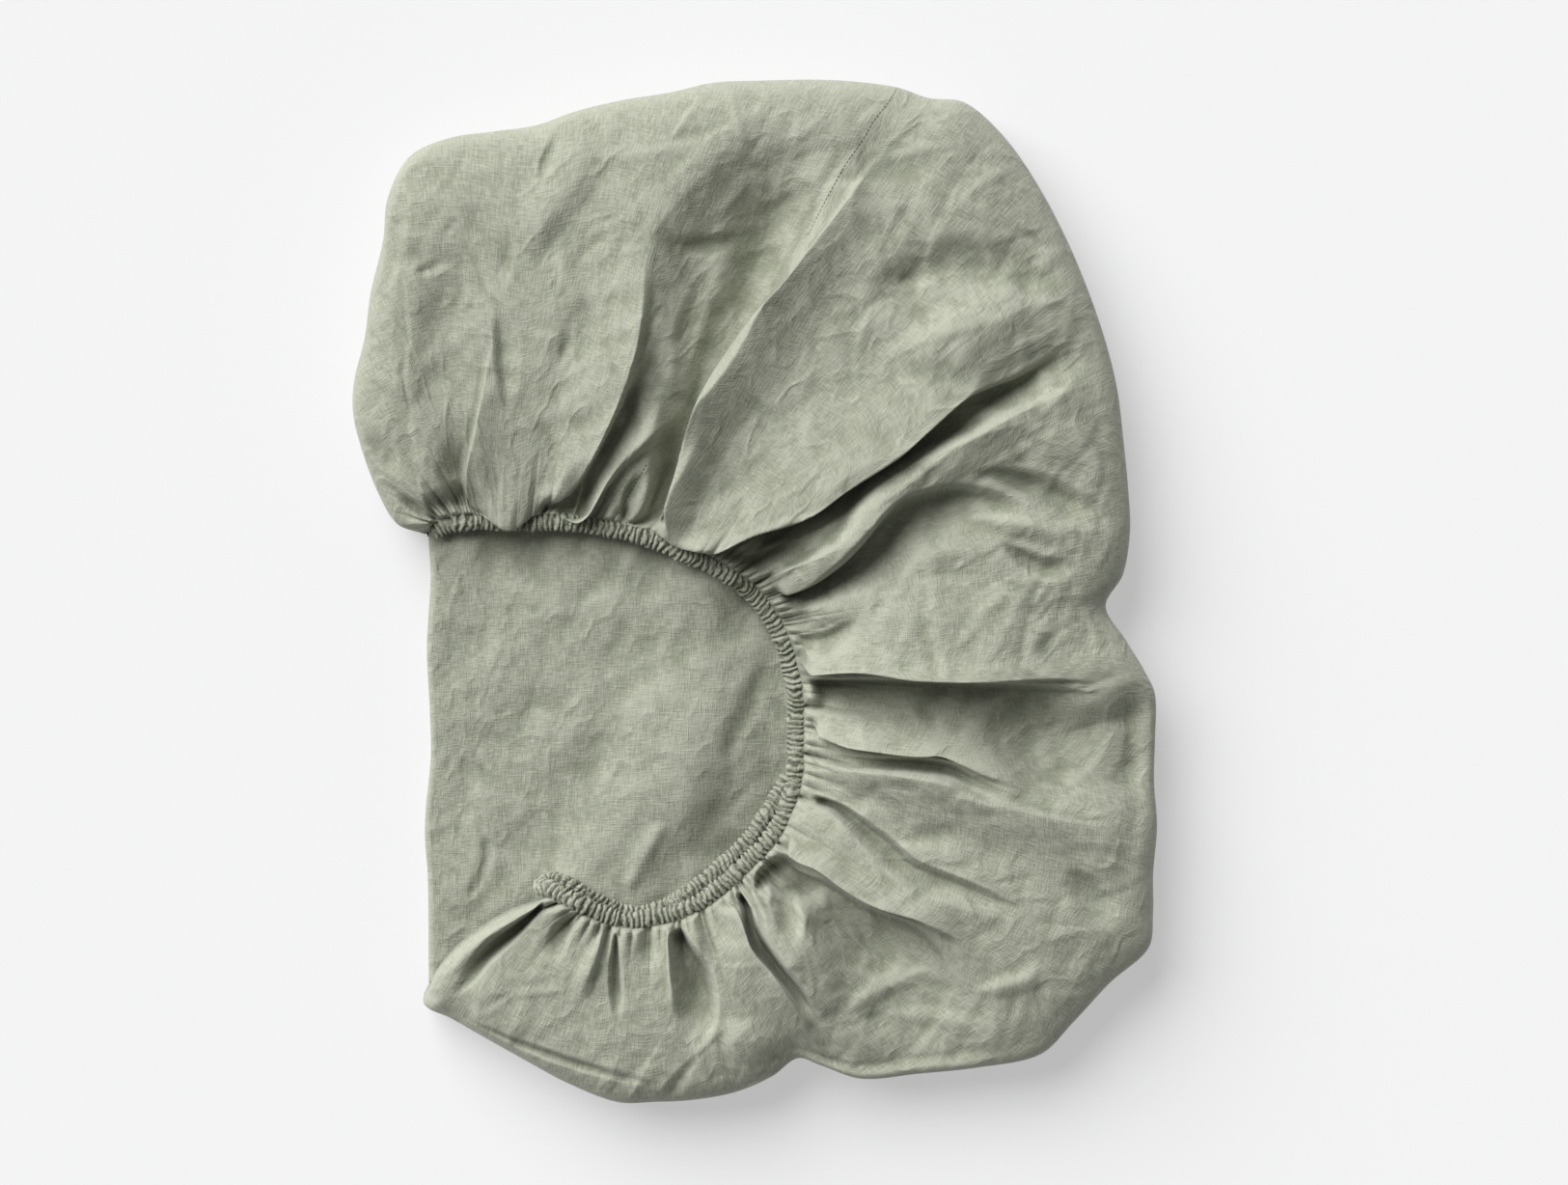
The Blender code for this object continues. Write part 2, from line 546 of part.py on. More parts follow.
def build_cloth(columns):
    """The whole cloth as one sheet, thinned out where it is flat and then given its thickness."""
    plan_x, plan_y, height = skirt(columns)
    turn_x, turn_y, turn_height = turned_under(columns, plan_x, plan_y, height)
    layers = packet_rows(turn_x, turn_y)
    rows_x = np.vstack([plan_x, turn_x, [row[0] for row in layers]])
    rows_y = np.vstack([plan_y, turn_y, [row[1] for row in layers]])
    rows_height = np.vstack([height, turn_height, [row[2] for row in layers]])
    points = to_metres(rows_x, rows_y, rows_height)
    cloth = add_mesh("fitted_sheet", points.reshape(-1, 3), grid_faces(*rows_x.shape))
    thin = cloth.modifiers.new("Thin out", "DECIMATE")
    thin.ratio = KEPT_SHARE
    thick = cloth.modifiers.new("Thickness", "SOLIDIFY")
    thick.thickness = CLOTH
    thick.offset = 0
    return cloth


def hem_route(columns):
    """The hem's middle line in metres: along the skirt, round its turn and back below."""
    along_skirt = evenly(columns[:, 0:3], 70)
    back = np.array(HEM_RETURN, float)
    route = evenly(np.vstack([along_skirt, back]), 260)
    height = hem_height(route[:, 0:2], route[:, 2])
    return to_metres(route[:, 0], route[:, 1], height)


def build_hem(columns):
    """The elastic in its ruched channel: an oval tube whose size swells at each ruche."""
    route = hem_route(columns)
    covered = along(route)
    rings = 2 * round(covered[-1] / RUCHE_PITCH)
    wanted = np.linspace(0, covered[-1], rings)
    line = np.stack([np.interp(wanted, covered, column) for column in route.T], axis=1)
    ahead = np.gradient(line, axis=0)
    ahead /= np.linalg.norm(ahead, axis=1)[:, None]
    sideways = [np.cross(ahead[0], (0.0, 0.0, 1.0))]
    for heading in ahead[1:]:
        carried = sideways[-1] - heading * (heading @ sideways[-1])
        sideways.append(carried / np.linalg.norm(carried))
    upward = np.cross(sideways, ahead)
    end_taper = smooth(np.minimum(wanted, covered[-1] - wanted) / 0.006) * 0.45 + 0.55
    bend = np.linalg.norm(np.gradient(ahead, wanted, axis=0), axis=1)
    slim = 1 / (1 + (bend * HEM_HALF_HEIGHT) ** 2)
    ruche = 1 + RUCHE_DEPTH * np.where(np.arange(rings) % 2 == 0, -1, 1)
    sides = 8
    angles = np.linspace(2 * np.pi, 0, sides, endpoint=False)
    points = []
    for place in range(rings):
        wide = HEM_HALF_WIDTH * ruche[place] * end_taper[place]
        high = HEM_HALF_HEIGHT * ruche[place] * end_taper[place] * slim[place]
        across = np.outer(np.cos(angles) * wide, sideways[place])
        points.append(line[place] + across + np.outer(np.sin(angles) * high, upward[place]))
    faces = grid_faces(rings, sides, closed=True)
    faces.append(tuple(range(sides))[::-1])
    faces.append(tuple(range((rings - 1) * sides, rings * sides)))
    return add_mesh("elastic_hem", np.vstack(points), faces)


def main():
    for thing in list(bpy.data.objects):
        bpy.data.objects.remove(thing)
    columns = sections(COLUMNS)
    cloth = build_cloth(columns)
    add_material(cloth, "Washed linen", (0.41, 0.43, 0.34), 0.95)
    hem = build_hem(columns)
    add_material(hem, "Ruched linen", (0.39, 0.41, 0.32), 0.95)


main()
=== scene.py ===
# %% [markdown]
# # A crumpled linen fitted sheet
#
# A fitted bed sheet has been folded into a loose bundle. Its gathered skirt is puffed up around
# an elastic edge, which curves over a packet of folded layers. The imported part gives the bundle's
# size and main shapes as two solids. This lesson dresses them: each step first says what the piece
# is on the real sheet, and then makes it.

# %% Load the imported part
import math
from collections import namedtuple

import bpy
import numpy as np
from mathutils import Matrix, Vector


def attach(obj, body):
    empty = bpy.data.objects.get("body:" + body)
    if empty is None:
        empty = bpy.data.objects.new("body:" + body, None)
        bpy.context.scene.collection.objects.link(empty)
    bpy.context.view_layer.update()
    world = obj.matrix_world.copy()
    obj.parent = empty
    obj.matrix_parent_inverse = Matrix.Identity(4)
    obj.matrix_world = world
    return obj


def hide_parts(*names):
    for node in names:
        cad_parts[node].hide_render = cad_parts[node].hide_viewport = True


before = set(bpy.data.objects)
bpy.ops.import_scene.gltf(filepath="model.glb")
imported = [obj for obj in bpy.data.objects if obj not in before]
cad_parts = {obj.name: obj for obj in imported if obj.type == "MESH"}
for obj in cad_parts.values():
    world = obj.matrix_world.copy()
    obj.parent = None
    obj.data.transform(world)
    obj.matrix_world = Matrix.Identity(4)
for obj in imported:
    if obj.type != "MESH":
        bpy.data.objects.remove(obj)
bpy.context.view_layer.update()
scene = bpy.context.scene
print("nodes:", sorted(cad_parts))

# %% [markdown]
# ## The view and the light
#
# The sheet is looked at from straight above, with a long lens, so that the high folds hardly grow.
# Plan coordinates count steps of half a millimetre from the top left corner of that view. The
# light is one broad soft sun from the upper left over a pale room, as in a studio. A sun has no
# falloff, so the floor stays even.

# %% Camera, floor and light
PLAN_STEP = 0.0005
PLAN_CENTRE = (782.1, 613.2)
VIEW_STEPS = (1625, 1228)
MM = 0.001
CAMERA_HEIGHT = 2.4
SHARP_HEIGHT = 0.022



def add_object(name, data):
    made = bpy.data.objects.new(name, data)
    scene.collection.objects.link(made)
    return made


middle_x = (VIEW_STEPS[0] / 2 - PLAN_CENTRE[0]) * PLAN_STEP
middle_y = (PLAN_CENTRE[1] - VIEW_STEPS[1] / 2) * PLAN_STEP
camera_data = bpy.data.cameras.new("Camera")
camera_data.sensor_width = 36
camera_data.lens = 36 * (CAMERA_HEIGHT - SHARP_HEIGHT) / (VIEW_STEPS[0] * PLAN_STEP)
camera = add_object("Camera", camera_data)
camera.location = (middle_x, middle_y, CAMERA_HEIGHT)
scene.camera = camera

sun_data = bpy.data.lights.new("Soft sun", "SUN")
sun_data.energy = 4.5
sun_data.angle = math.radians(56)
sun = add_object("Soft sun", sun_data)
sun.rotation_euler = Vector((-0.70, 0.80, 0.80)).to_track_quat("Z", "Y").to_euler()

world = bpy.data.worlds.new("Pale room")
world.use_nodes = True
world.node_tree.nodes["Background"].inputs["Color"].default_value = (0.97, 0.985, 1.0, 1)
world.node_tree.nodes["Background"].inputs["Strength"].default_value = 0.17
scene.world = world
scene.view_settings.view_transform = "Standard"

floor_mesh = bpy.data.meshes.new("Floor")
floor_mesh.from_pydata([(-6, -6, 0), (6, -6, 0), (6, 6, 0), (-6, 6, 0)], [], [(0, 1, 2, 3)])
floor = add_object("Floor", floor_mesh)
floor_paint = bpy.data.materials.new("Pale floor")
floor_paint.use_nodes = True
floor_shader = floor_paint.node_tree.nodes["Principled BSDF"]
floor_shader.inputs["Base Color"].default_value = (0.46, 0.46, 0.465, 1)
floor_shader.inputs["Roughness"].default_value = 0.9
floor_shader.inputs["Emission Color"].default_value = (1.0, 1.0, 1.0, 1)
floor_shader.inputs["Emission Strength"].default_value = 0.42
floor_mesh.materials.append(floor_paint)
print("camera at", tuple(round(value, 3) for value in camera.location))

# %% [markdown]
# ## How the cloth runs
#
# A skirt that is drawn in by elastic is wide at its rim and narrow at its hem, so it is described
# by sections: lines that run from the hem over the puffed crown to the rim. One row gives a
# section's two ends in plan steps, and in millimetres how far the hem is lifted off the packet and
# how high the crown is. All other sections lie on smooth curves through these rows.

# %% The sections across the skirt
# Hem across and down, lift in millimetres, rim across and down, crown in millimetres.
SECTIONS = [
    (451, 551, 0.5, 438, 553, 32), (454, 549, 1, 412, 543, 37), (458, 547, 1.5, 393, 512, 40),
    (463, 545, 2, 377, 470, 43), (468, 544, 2.5, 367, 430, 45), (473, 543, 3, 368, 395, 46),
    (479, 542, 3, 379, 350, 47), (485, 542, 3, 385, 305, 48), (491, 541, 3, 398, 250, 48),
    (497, 541, 3.5, 403, 205, 48), (503, 541, 3.5, 425, 163, 47), (509, 541, 3.5, 465, 144, 47),
    (517, 541, 4, 512, 137, 48), (527, 541, 4, 555, 131, 49), (539, 541, 4, 595, 117, 50),
    (553, 541, 4, 645, 105, 51), (567, 541, 4, 695, 97, 52), (581, 541, 4, 740, 87, 53),
    (598, 543, 4, 790, 85, 54), (615, 545, 4, 840, 84, 54), (632, 548, 4, 885, 86, 54),
    (650, 551, 4, 929, 92, 54), (672, 558, 4, 962, 103, 54), (694, 567, 4, 1000, 108, 54),
    (712, 574, 4, 1040, 143, 54), (727, 581, 4, 1075, 193, 54), (741, 588, 4, 1105, 250, 54),
    (754, 596, 4, 1128, 305, 54), (765, 603, 3.5, 1145, 355, 54), (775, 611, 3, 1157, 405, 55),
    (784, 620, 3, 1163, 455, 55), (792, 630, 3, 1168, 505, 55), (799, 640, 2.5, 1170, 550, 55),
    (805, 651, 2, 1163, 595, 54), (810, 662, 2, 1145, 628, 52), (815, 675, 1.5, 1165, 662, 52),
    (819, 690, 1, 1184, 693, 54), (823, 708, 1, 1196, 720, 55), (825, 730, 1, 1196, 765, 55),
    (825, 752, 1.5, 1195, 810, 54), (825, 775, 3, 1198, 855, 54), (825, 795, 5.5, 1194, 905, 54),
    (822, 815, 8, 1194, 945, 53), (817, 832, 8, 1189, 982, 53), (811, 848, 8, 1150, 1017, 52),
    (802, 863, 8, 1112, 1058, 51), (791, 877, 8, 1077, 1092, 50), (779, 889, 8, 1015, 1105, 50),
    (768, 900, 8, 950, 1112, 49), (758, 909, 8, 893, 1117, 48), (750, 916, 8, 850, 1103, 46),
    (742, 922, 8, 827, 1096, 44), (731, 930, 8, 800, 1115, 45), (716, 938, 8, 762, 1131, 46),
    (698, 945, 8, 718, 1139, 46), (678, 949, 8, 680, 1141, 46), (655, 951, 8, 640, 1141, 46),
    (634, 947, 8, 590, 1122, 46), (618, 941, 8, 545, 1098, 45), (605, 935, 8, 500, 1073, 44),
    (593, 929, 8, 466, 1054, 42), (584, 925, 8, 446, 1046, 42), (579, 922, 8, 438, 1040, 41),
    (577, 921, 8, 437, 1033, 39),
]


def smooth(value):
    """A soft step from 0 to 1."""
    value = np.clip(value, 0.0, 1.0)
    return value * value * (3 - 2 * value)


def through(knots, values, wanted):
    """A smooth curve through the values at the knots, read at the wanted places."""
    knots, values = np.asarray(knots, float), np.asarray(values, float)
    before, after = np.roll(values, 1, 0), np.roll(values, -1, 0)
    before[0], after[-1] = values[0], values[-1]
    span = np.append(knots[1:], knots[-1]) - np.append(knots[0], knots[:-1])
    slopes = (after - before) / span[:, None]
    wanted = np.clip(wanted, knots[0], knots[-1])
    at = np.clip(np.searchsorted(knots, wanted, "right") - 1, 0, len(knots) - 2)
    gap = (knots[at + 1] - knots[at])[:, None]
    share = (wanted - knots[at])[:, None] / gap
    cube, square = share**3, share**2
    return (
        (2 * cube - 3 * square + 1) * values[at]
        + (cube - 2 * square + share) * gap * slopes[at]
        + (3 * square - 2 * cube) * values[at + 1]
        + (cube - square) * gap * slopes[at + 1]
    )


def along(points):
    """The distance covered at each point of a line."""
    steps = np.linalg.norm(np.diff(points, axis=0), axis=1)
    return np.append(0.0, np.cumsum(steps))


def evenly(points, count):
    """A smooth line through the points, as count points evenly spaced."""
    points = np.asarray(points, float)
    dense = through(along(points), points, np.linspace(0, along(points)[-1], 40 * len(points)))
    covered = along(dense)
    wanted = np.linspace(0, covered[-1], count)
    return np.stack([np.interp(wanted, covered, column) for column in dense.T], axis=1)


def to_metres(plan_x, plan_y, height):
    """Points in metres from plan steps and a height in millimetres."""
    x = (plan_x - PLAN_CENTRE[0]) * PLAN_STEP
    y = (PLAN_CENTRE[1] - plan_y) * PLAN_STEP
    return np.stack(np.broadcast_arrays(x, y, height * MM), axis=-1)


section_rows = np.array(SECTIONS, float)
section_knots = along(section_rows[:, 3:5]) + 0.6 * along(section_rows[:, 0:2])


def sections(count, first=0.0, last=1.0):
    """Hem, lift, rim and crown at evenly spaced columns of one stretch of the skirt."""
    wanted = section_knots[-1] * np.linspace(first, last, count)
    return through(section_knots, section_rows, wanted)


print(len(SECTIONS), "sections, rim", round(along(section_rows[:, 3:5])[-1] * PLAN_STEP, 3), "m")

# %% [markdown]
# ## The main folds
#
# The folds are what makes the bundle this one. Each is a stroke drawn over the plan, like a
# finger pushed along under the cloth for a ridge or over it for a trough. A row holds the stroke's
# height, its width on its left and right, and its lean, which pulls the cloth sideways so that a
# lip hangs over its trough. A sharp stroke has a crease along its middle.

# %% The strokes of the main folds
Fold = namedtuple("Fold", "name height left right path lean sharp", defaults=(0, 0))
FOLDS = [
    Fold("left soft ridge", 3.5, 44, 30, [
        (540, 300), (551, 268), (568, 229), (596, 187), (633, 131), (655, 104),
    ], 0, 0.1),
    Fold("left thin crease", -2, 7, 10, [(561, 205), (566, 175), (577, 150), (588, 124)]),
    Fold("left hollow", -3, 44, 50, [(470, 490), (462, 430), (470, 340), (492, 250), (512, 180)]),
    Fold("edge groove", -1.6, 12, 14, [(400, 320), (408, 275), (414, 245), (420, 205), (430, 180)]),
    Fold("short crease", -1.8, 5, 7, [(427, 289), (447, 281), (468, 270)]),
    Fold("bulge crease", -3.5, 12, 18, [(418, 498), (405, 480), (390, 458), (384, 440)]),
    Fold("end crease", -4, 6, 9, [(449, 541), (438, 533), (425, 522), (411, 512)]),
    Fold("flap edge", 6, 10, 40, [
        (497, 522), (491, 500), (492, 478), (500, 450), (507, 415), (511, 385), (517, 340),
    ], -5, 0.6),
    Fold("flap hollow", -3.5, 10, 20, [(531, 435), (529, 415), (526, 385), (522, 340), (520, 310)]),
    Fold("pocket left of the flap", -6, 26, 8, [(482, 524), (480, 505), (478, 480), (484, 450)]),
    Fold("middle crease", -1.6, 12, 16, [(603, 405), (605, 375), (610, 340), (614, 305)]),
    Fold("second middle crease", -1, 9, 12, [(583, 385), (588, 360), (592, 335)]),
    Fold("long ridge", 10, 60, 17, [
        (566, 520), (590, 494), (612, 464), (628, 434), (643, 398), (656, 358), (664, 318), (670, 280),
        (682, 243),
    ], 9, 0.5),
    Fold("long ridge, upper part", 4, 90, 60, [
        (640, 400), (656, 358), (664, 318), (670, 280), (684, 243), (708, 200), (748, 152), (802, 108),
    ], 0, 0.2),
    Fold("pocket by long ridge", -9, 12, 34, [
        (600, 522), (612, 490), (632, 452), (654, 415), (676, 380), (690, 340),
    ]),
    Fold("hollow by long ridge", -6, 50, 90, [
        (690, 350), (700, 300), (716, 250), (750, 205), (800, 160), (850, 125),
    ]),
    Fold("crease across hollow", -3, 10, 16, [(682, 252), (710, 256), (738, 254), (775, 245), (795, 230)]),
    Fold("faint hollow line", -3, 14, 18, [(704, 405), (711, 345), (730, 300), (745, 270)]),
    Fold("second hollow", -8, 44, 34, [
        (768, 350), (775, 290), (786, 250), (801, 215), (822, 183), (858, 143),
    ]),
    Fold("seam fold", 8, 24, 18, [
        (594, 530), (608, 518), (625, 495), (642, 474), (668, 454), (700, 430), (722, 412),
    ], 6, 0.3),
    Fold("seam lobe", 5, 12, 16, [(650, 534), (668, 515), (680, 497), (692, 478)], 2, 0.2),
    Fold("seam groove", -5, 8, 8, [(646, 536), (652, 515), (661, 500), (672, 484)]),
    Fold("deep valley", -16, 58, 15, [
        (682, 535), (690, 512), (700, 480), (707, 455), (720, 430), (745, 395), (772, 352), (800, 300),
        (825, 250), (850, 200), (880, 150),
    ]),
    Fold("bright ridge", 12, 14, 56, [
        (700, 548), (708, 515), (718, 480), (728, 445), (742, 412), (762, 380), (790, 342), (822, 306),
        (856, 256), (880, 218), (905, 178), (940, 135),
    ], -14, 0.5),
    Fold("right of bright ridge", -2, 30, 44, [(780, 400), (800, 372), (826, 336), (856, 290), (892, 220)]),
    Fold("split valley", -6, 8, 10, [(688, 537), (698, 515), (712, 488), (724, 460), (733, 436)]),
    Fold("wide lip", 12, 90, 13, [
        (700, 566), (735, 560), (775, 543), (830, 525), (870, 497), (920, 465), (950, 440), (1000, 403),
        (1050, 385), (1100, 357), (1130, 345),
    ], 16, 0.4),
    Fold("dark valley", -17, 12, 34, [
        (742, 576), (785, 556), (836, 532), (880, 503), (926, 474), (958, 450), (1005, 418), (1055, 396),
        (1104, 372), (1142, 360),
    ]),
    Fold("valley mouth", -6, 34, 30, [(980, 430), (1040, 402), (1090, 380), (1135, 372)]),
    Fold("fold below the valley", 10, 16, 50, [
        (795, 600), (840, 580), (875, 553), (905, 510), (950, 480), (1000, 460), (1060, 428), (1130, 398),
        (1155, 392),
    ], 0, 0.3),
    Fold("short lip", 8, 26, 12, [
        (803, 612), (838, 598), (866, 578), (884, 560), (902, 540), (918, 526), (950, 503),
    ], 10, 0.4),
    Fold("hollow below short lip", -16, 14, 60, [
        (806, 623), (838, 604), (870, 582), (900, 556), (935, 530), (985, 516), (1040, 524), (1095, 545),
    ]),
    Fold("side crease", -8, 18, 26, [(1000, 492), (1040, 496), (1080, 510), (1110, 524), (1160, 540)]),
    Fold("side fold", 4, 16, 16, [(1000, 535), (1060, 545), (1115, 560)], 0, 0.1),
    Fold("lower side crease", -5, 12, 16, [(1032, 560), (1052, 575), (1080, 588), (1120, 586)]),
    Fold("top soft hollow", -4, 60, 60, [(890, 225), (912, 180), (945, 130)]),
    Fold("soft hollow", -4, 50, 50, [(900, 330), (940, 300), (990, 270)]),
    Fold("small mark", -2, 6, 8, [(928, 290), (940, 293), (952, 298)]),
    Fold("soft ridge", 8, 40, 50, [(910, 378), (990, 345), (1055, 326), (1130, 334)]),
    Fold("rim hollow", -5, 40, 30, [(905, 296), (975, 282), (1030, 280), (1080, 292), (1125, 314)]),
    Fold("notch ridge", 5, 50, 40, [
        (830, 640), (870, 634), (910, 632), (1000, 636), (1080, 638), (1140, 642),
    ]),
    Fold("small pinch", -8, 8, 14, [(815, 655), (835, 662), (860, 658), (890, 640)]),
    Fold("level lip", 16, 84, 11, [
        (828, 684), (850, 684), (880, 682), (908, 684), (945, 690), (1000, 692), (1080, 696), (1150, 706),
    ], 14, 0.2),
    Fold("level hollow", -21, 10, 92, [
        (838, 706), (880, 706), (925, 708), (1000, 712), (1080, 716), (1150, 722),
    ]),
    Fold("pinched fold", 10, 30, 11, [
        (840, 748), (880, 762), (910, 766), (945, 770), (975, 771), (1000, 784), (1030, 802), (1065, 816),
    ], 12, 0.4),
    Fold("pinched slit", -12, 9, 16, [
        (862, 782), (910, 788), (950, 790), (985, 797), (1010, 812), (1040, 824), (1070, 834),
    ]),
    Fold("side ridge", 8, 10, 50, [
        (840, 785), (880, 796), (950, 802), (1000, 812), (1060, 838), (1110, 850), (1170, 856),
    ], 0, 0.3),
    Fold("strap valley", -11, 10, 22, [
        (842, 824), (872, 836), (898, 856), (920, 874), (945, 896), (980, 910), (1030, 930), (1070, 946),
    ]),
    Fold("lower side hollow", -4, 20, 30, [(1100, 895), (1130, 925), (1155, 950)]),
    Fold("strap", 12, 18, 12, [
        (818, 868), (835, 880), (855, 888), (884, 908), (905, 920), (926, 928), (950, 938), (968, 950),
        (990, 966), (1006, 990),
    ], 14, 0.4),
    Fold("under the strap", -17, 10, 74, [
        (808, 896), (832, 908), (855, 916), (885, 936), (912, 950), (940, 960), (958, 972), (975, 992),
        (980, 1020),
    ]),
    Fold("corner ridge", 3, 20, 16, [(868, 1052), (890, 1035), (930, 1010), (975, 1000)], 0, 0.2),
    Fold("low corner ridge", 2, 14, 16, [(905, 1045), (960, 1050), (1045, 1066)], 0, 0.2),
    Fold("outer corner ridge", 3, 16, 16, [(1000, 1025), (1060, 1010), (1095, 988)], 0, 0.2),
    Fold("hollow right of the slit", -8, 14, 20, [(800, 905), (812, 925), (820, 950), (826, 975)]),
    Fold("slit", -20, 9, 15, [
        (764, 922), (775, 940), (780, 960), (788, 977), (805, 1000), (830, 1030), (853, 1062),
    ]),
    Fold("right of the slit", 5, 30, 12, [
        (778, 918), (790, 945), (800, 972), (820, 1000), (845, 1030), (868, 1060),
    ], 0, 0.3),
    Fold("left of the slit", 10, 10, 36, [
        (752, 930), (762, 956), (772, 984), (795, 1012), (822, 1042), (845, 1072),
    ], -9, 0.3),
    Fold("bottom hollow", -16, 18, 30, [(702, 958), (712, 982), (724, 1008), (729, 1040), (726, 1085)]),
    Fold("bottom ridge", 6, 24, 10, [(694, 958), (698, 990), (700, 1020), (698, 1055)], 3, 0.3),
    Fold("bottom crease", -8, 7, 9, [(640, 962), (640, 1000), (641, 1030), (643, 1058)]),
    Fold("bottom lobe ridge", 5, 12, 16, [(628, 955), (622, 980), (610, 1010), (596, 1040)], 0, 0.2),
    Fold("small pocket", -6, 10, 16, [(600, 940), (590, 955), (582, 975), (576, 1000)]),
    Fold("corner valley", -10, 9, 13, [
        (566, 932), (548, 952), (522, 974), (505, 990), (490, 1010), (470, 1032),
    ]),
    Fold("corner fold", 6, 14, 14, [
        (572, 922), (550, 936), (522, 952), (500, 966), (478, 990), (462, 1016),
    ], -4, 0.3),
    Fold("bottom bulge", 5, 30, 30, [(750, 1050), (775, 1075), (800, 1100)]),
    Fold("broad hollow", -11, 84, 60, [(705, 430), (735, 350), (772, 270), (830, 200), (905, 140)]),
    Fold("side plain hollow", -14, 50, 84, [(1000, 746), (1060, 752), (1110, 764), (1160, 790)]),
    Fold("side slope", -12, 60, 180, [(1190, 690), (1206, 740), (1208, 800), (1208, 880)]),
    Fold("bottom slope", -8, 150, 60, [(780, 1075), (860, 1100), (940, 1102), (1020, 1085), (1095, 1035)]),
    Fold("lower corner hollow", -12, 66, 76, [
        (836, 940), (880, 970), (930, 1010), (980, 1046), (1030, 1080),
    ]),
    Fold("left root", -9, 30, 18, [(452, 540), (474, 528), (492, 518), (520, 512)]),
    Fold("ridge root", -12, 20, 24, [(566, 536), (584, 518), (600, 494), (614, 466)]),
    Fold("seam root", -12, 24, 24, [(646, 548), (668, 532), (690, 502), (706, 470)]),
    Fold("valley root", -16, 26, 34, [(726, 584), (760, 578), (800, 562), (850, 532)]),
    Fold("corner root", -20, 24, 26, [(782, 900), (806, 902), (830, 912), (856, 930)]),
    Fold("lower layer", -3, 6, 8, [(470, 1046), (540, 1077), (600, 1098), (650, 1112), (700, 1124)]),
]
PANEL_FOLDS = [
    Fold("slope to the hem", -10, 80, 108, [
        (770, 570), (826, 640), (838, 720), (830, 800), (784, 876), (700, 935),
    ]),
    Fold("rise of the panel", 6, 80, 120, [(570, 960), (640, 860), (690, 760), (700, 660)]),
    Fold("sag slope below the lower corner", -10, 90, 90, [
        (800, 940), (880, 965), (960, 1000), (1040, 1040),
    ]),
    Fold("sag slope below the level lip", -9, 60, 60, [(850, 735), (930, 735), (1030, 740), (1100, 745)]),
    Fold("sag slope below the wide lip", -9, 70, 70, [
        (770, 570), (840, 545), (930, 500), (1010, 440), (1100, 385),
    ]),
    Fold("sag slope in the top hollow", -8, 90, 90, [(690, 480), (740, 350), (800, 240), (880, 160)]),
    Fold("upper slope", -2.5, 40, 60, [(480, 575), (560, 566), (650, 575), (720, 600)]),
    Fold("packet crease", 2.5, 20, 9, [(650, 925), (668, 890), (692, 848)], 0, 0.6),
    Fold("left crease", -1.5, 10, 10, [(486, 930), (503, 895), (504, 862)]),
    Fold("right crease", -2.0, 14, 18, [(748, 790), (772, 735), (802, 680)]),
]
print(len(FOLDS), "main folds on the skirt and", len(PANEL_FOLDS), "on the panel")

# %% [markdown]
# ## From strokes to a relief
#
# The strokes are pressed into a relief: three square arrays over the plan that hold how far each
# place moves right, down and up. Each stroke only touches the cells near it, so hundreds of small
# creases cost little. The cloth's points then read the relief where they lie. A stroke that starts
# near the hem is deep almost at once. Roots and slopes are broad all along, and other strokes widen
# as they go.

# %% Press a stroke into a relief
RELIEF_FROM = (330, 50)
RELIEF_SIZE = (910, 1130)
NEAR_HEM = 30


def new_relief():
    return np.zeros((RELIEF_SIZE[1], RELIEF_SIZE[0], 3))


def press(relief, fold, start_taper=0.05, end_taper=0.5, flare=0.35):
    """Adds one stroke to a relief of right, down and up. It widens from a share of its width, flare."""
    count = max(6, int(along(np.array(fold.path, float))[-1] / 5))
    line = evenly(fold.path, count) - RELIEF_FROM
    reach = max(fold.left, fold.right) + 2
    low = np.maximum(np.floor(line.min(0) - reach).astype(int), 0)
    high = np.minimum(np.ceil(line.max(0) + reach).astype(int), RELIEF_SIZE)
    if (high <= low).any():
        return
    shape = (high[1] - low[1], high[0] - low[0])
    best = np.full(shape, 1e9)
    side, place, normal = np.zeros(shape), np.zeros(shape), np.zeros(shape + (2,))
    steps = np.diff(line, axis=0)
    for index, (start, step) in enumerate(zip(line[:-1], steps)):
        length = math.hypot(*step)
        ahead = step / length
        first = np.maximum(np.floor(np.minimum(start, start + step) - reach).astype(int), low)
        last = np.minimum(np.ceil(np.maximum(start, start + step) + reach).astype(int), high)
        if (last <= first).any():
            continue
        window = (slice(first[1] - low[1], last[1] - low[1]), slice(first[0] - low[0], last[0] - low[0]))
        from_x = np.arange(first[0], last[0])[None, :] - start[0]
        from_y = np.arange(first[1], last[1])[:, None] - start[1]
        run = np.clip(from_x * ahead[0] + from_y * ahead[1], 0, length)
        across = from_y * ahead[0] - from_x * ahead[1]
        away = np.hypot(from_x - run * ahead[0], from_y - run * ahead[1])
        nearer = away < best[window]
        best[window] = np.where(nearer, away, best[window])
        side[window] = np.where(nearer, across, side[window])
        place[window] = np.where(nearer, (index + run / length) / len(steps), place[window])
        normal[window] = np.where(nearer[..., None], (-ahead[1], ahead[0]), normal[window])
    opening = flare + (1 - flare) * smooth(place / 0.45)
    closing = 0.55 + 0.45 * smooth((1 - place) / 0.3)
    width = np.where(side < 0, fold.left, fold.right) * opening * closing
    reach_share = np.clip(best / width, 0, 1)
    crest = (1 - fold.sharp) * (1 - reach_share**2) ** 2 + fold.sharp * (1 - reach_share) ** 2
    crest *= smooth(place / start_taper) * smooth((1 - place) / end_taper)
    target = relief[low[1] : high[1], low[0] : high[0]]
    target[..., :2] += (crest * fold.lean)[..., None] * normal
    target[..., 2] += crest * fold.height


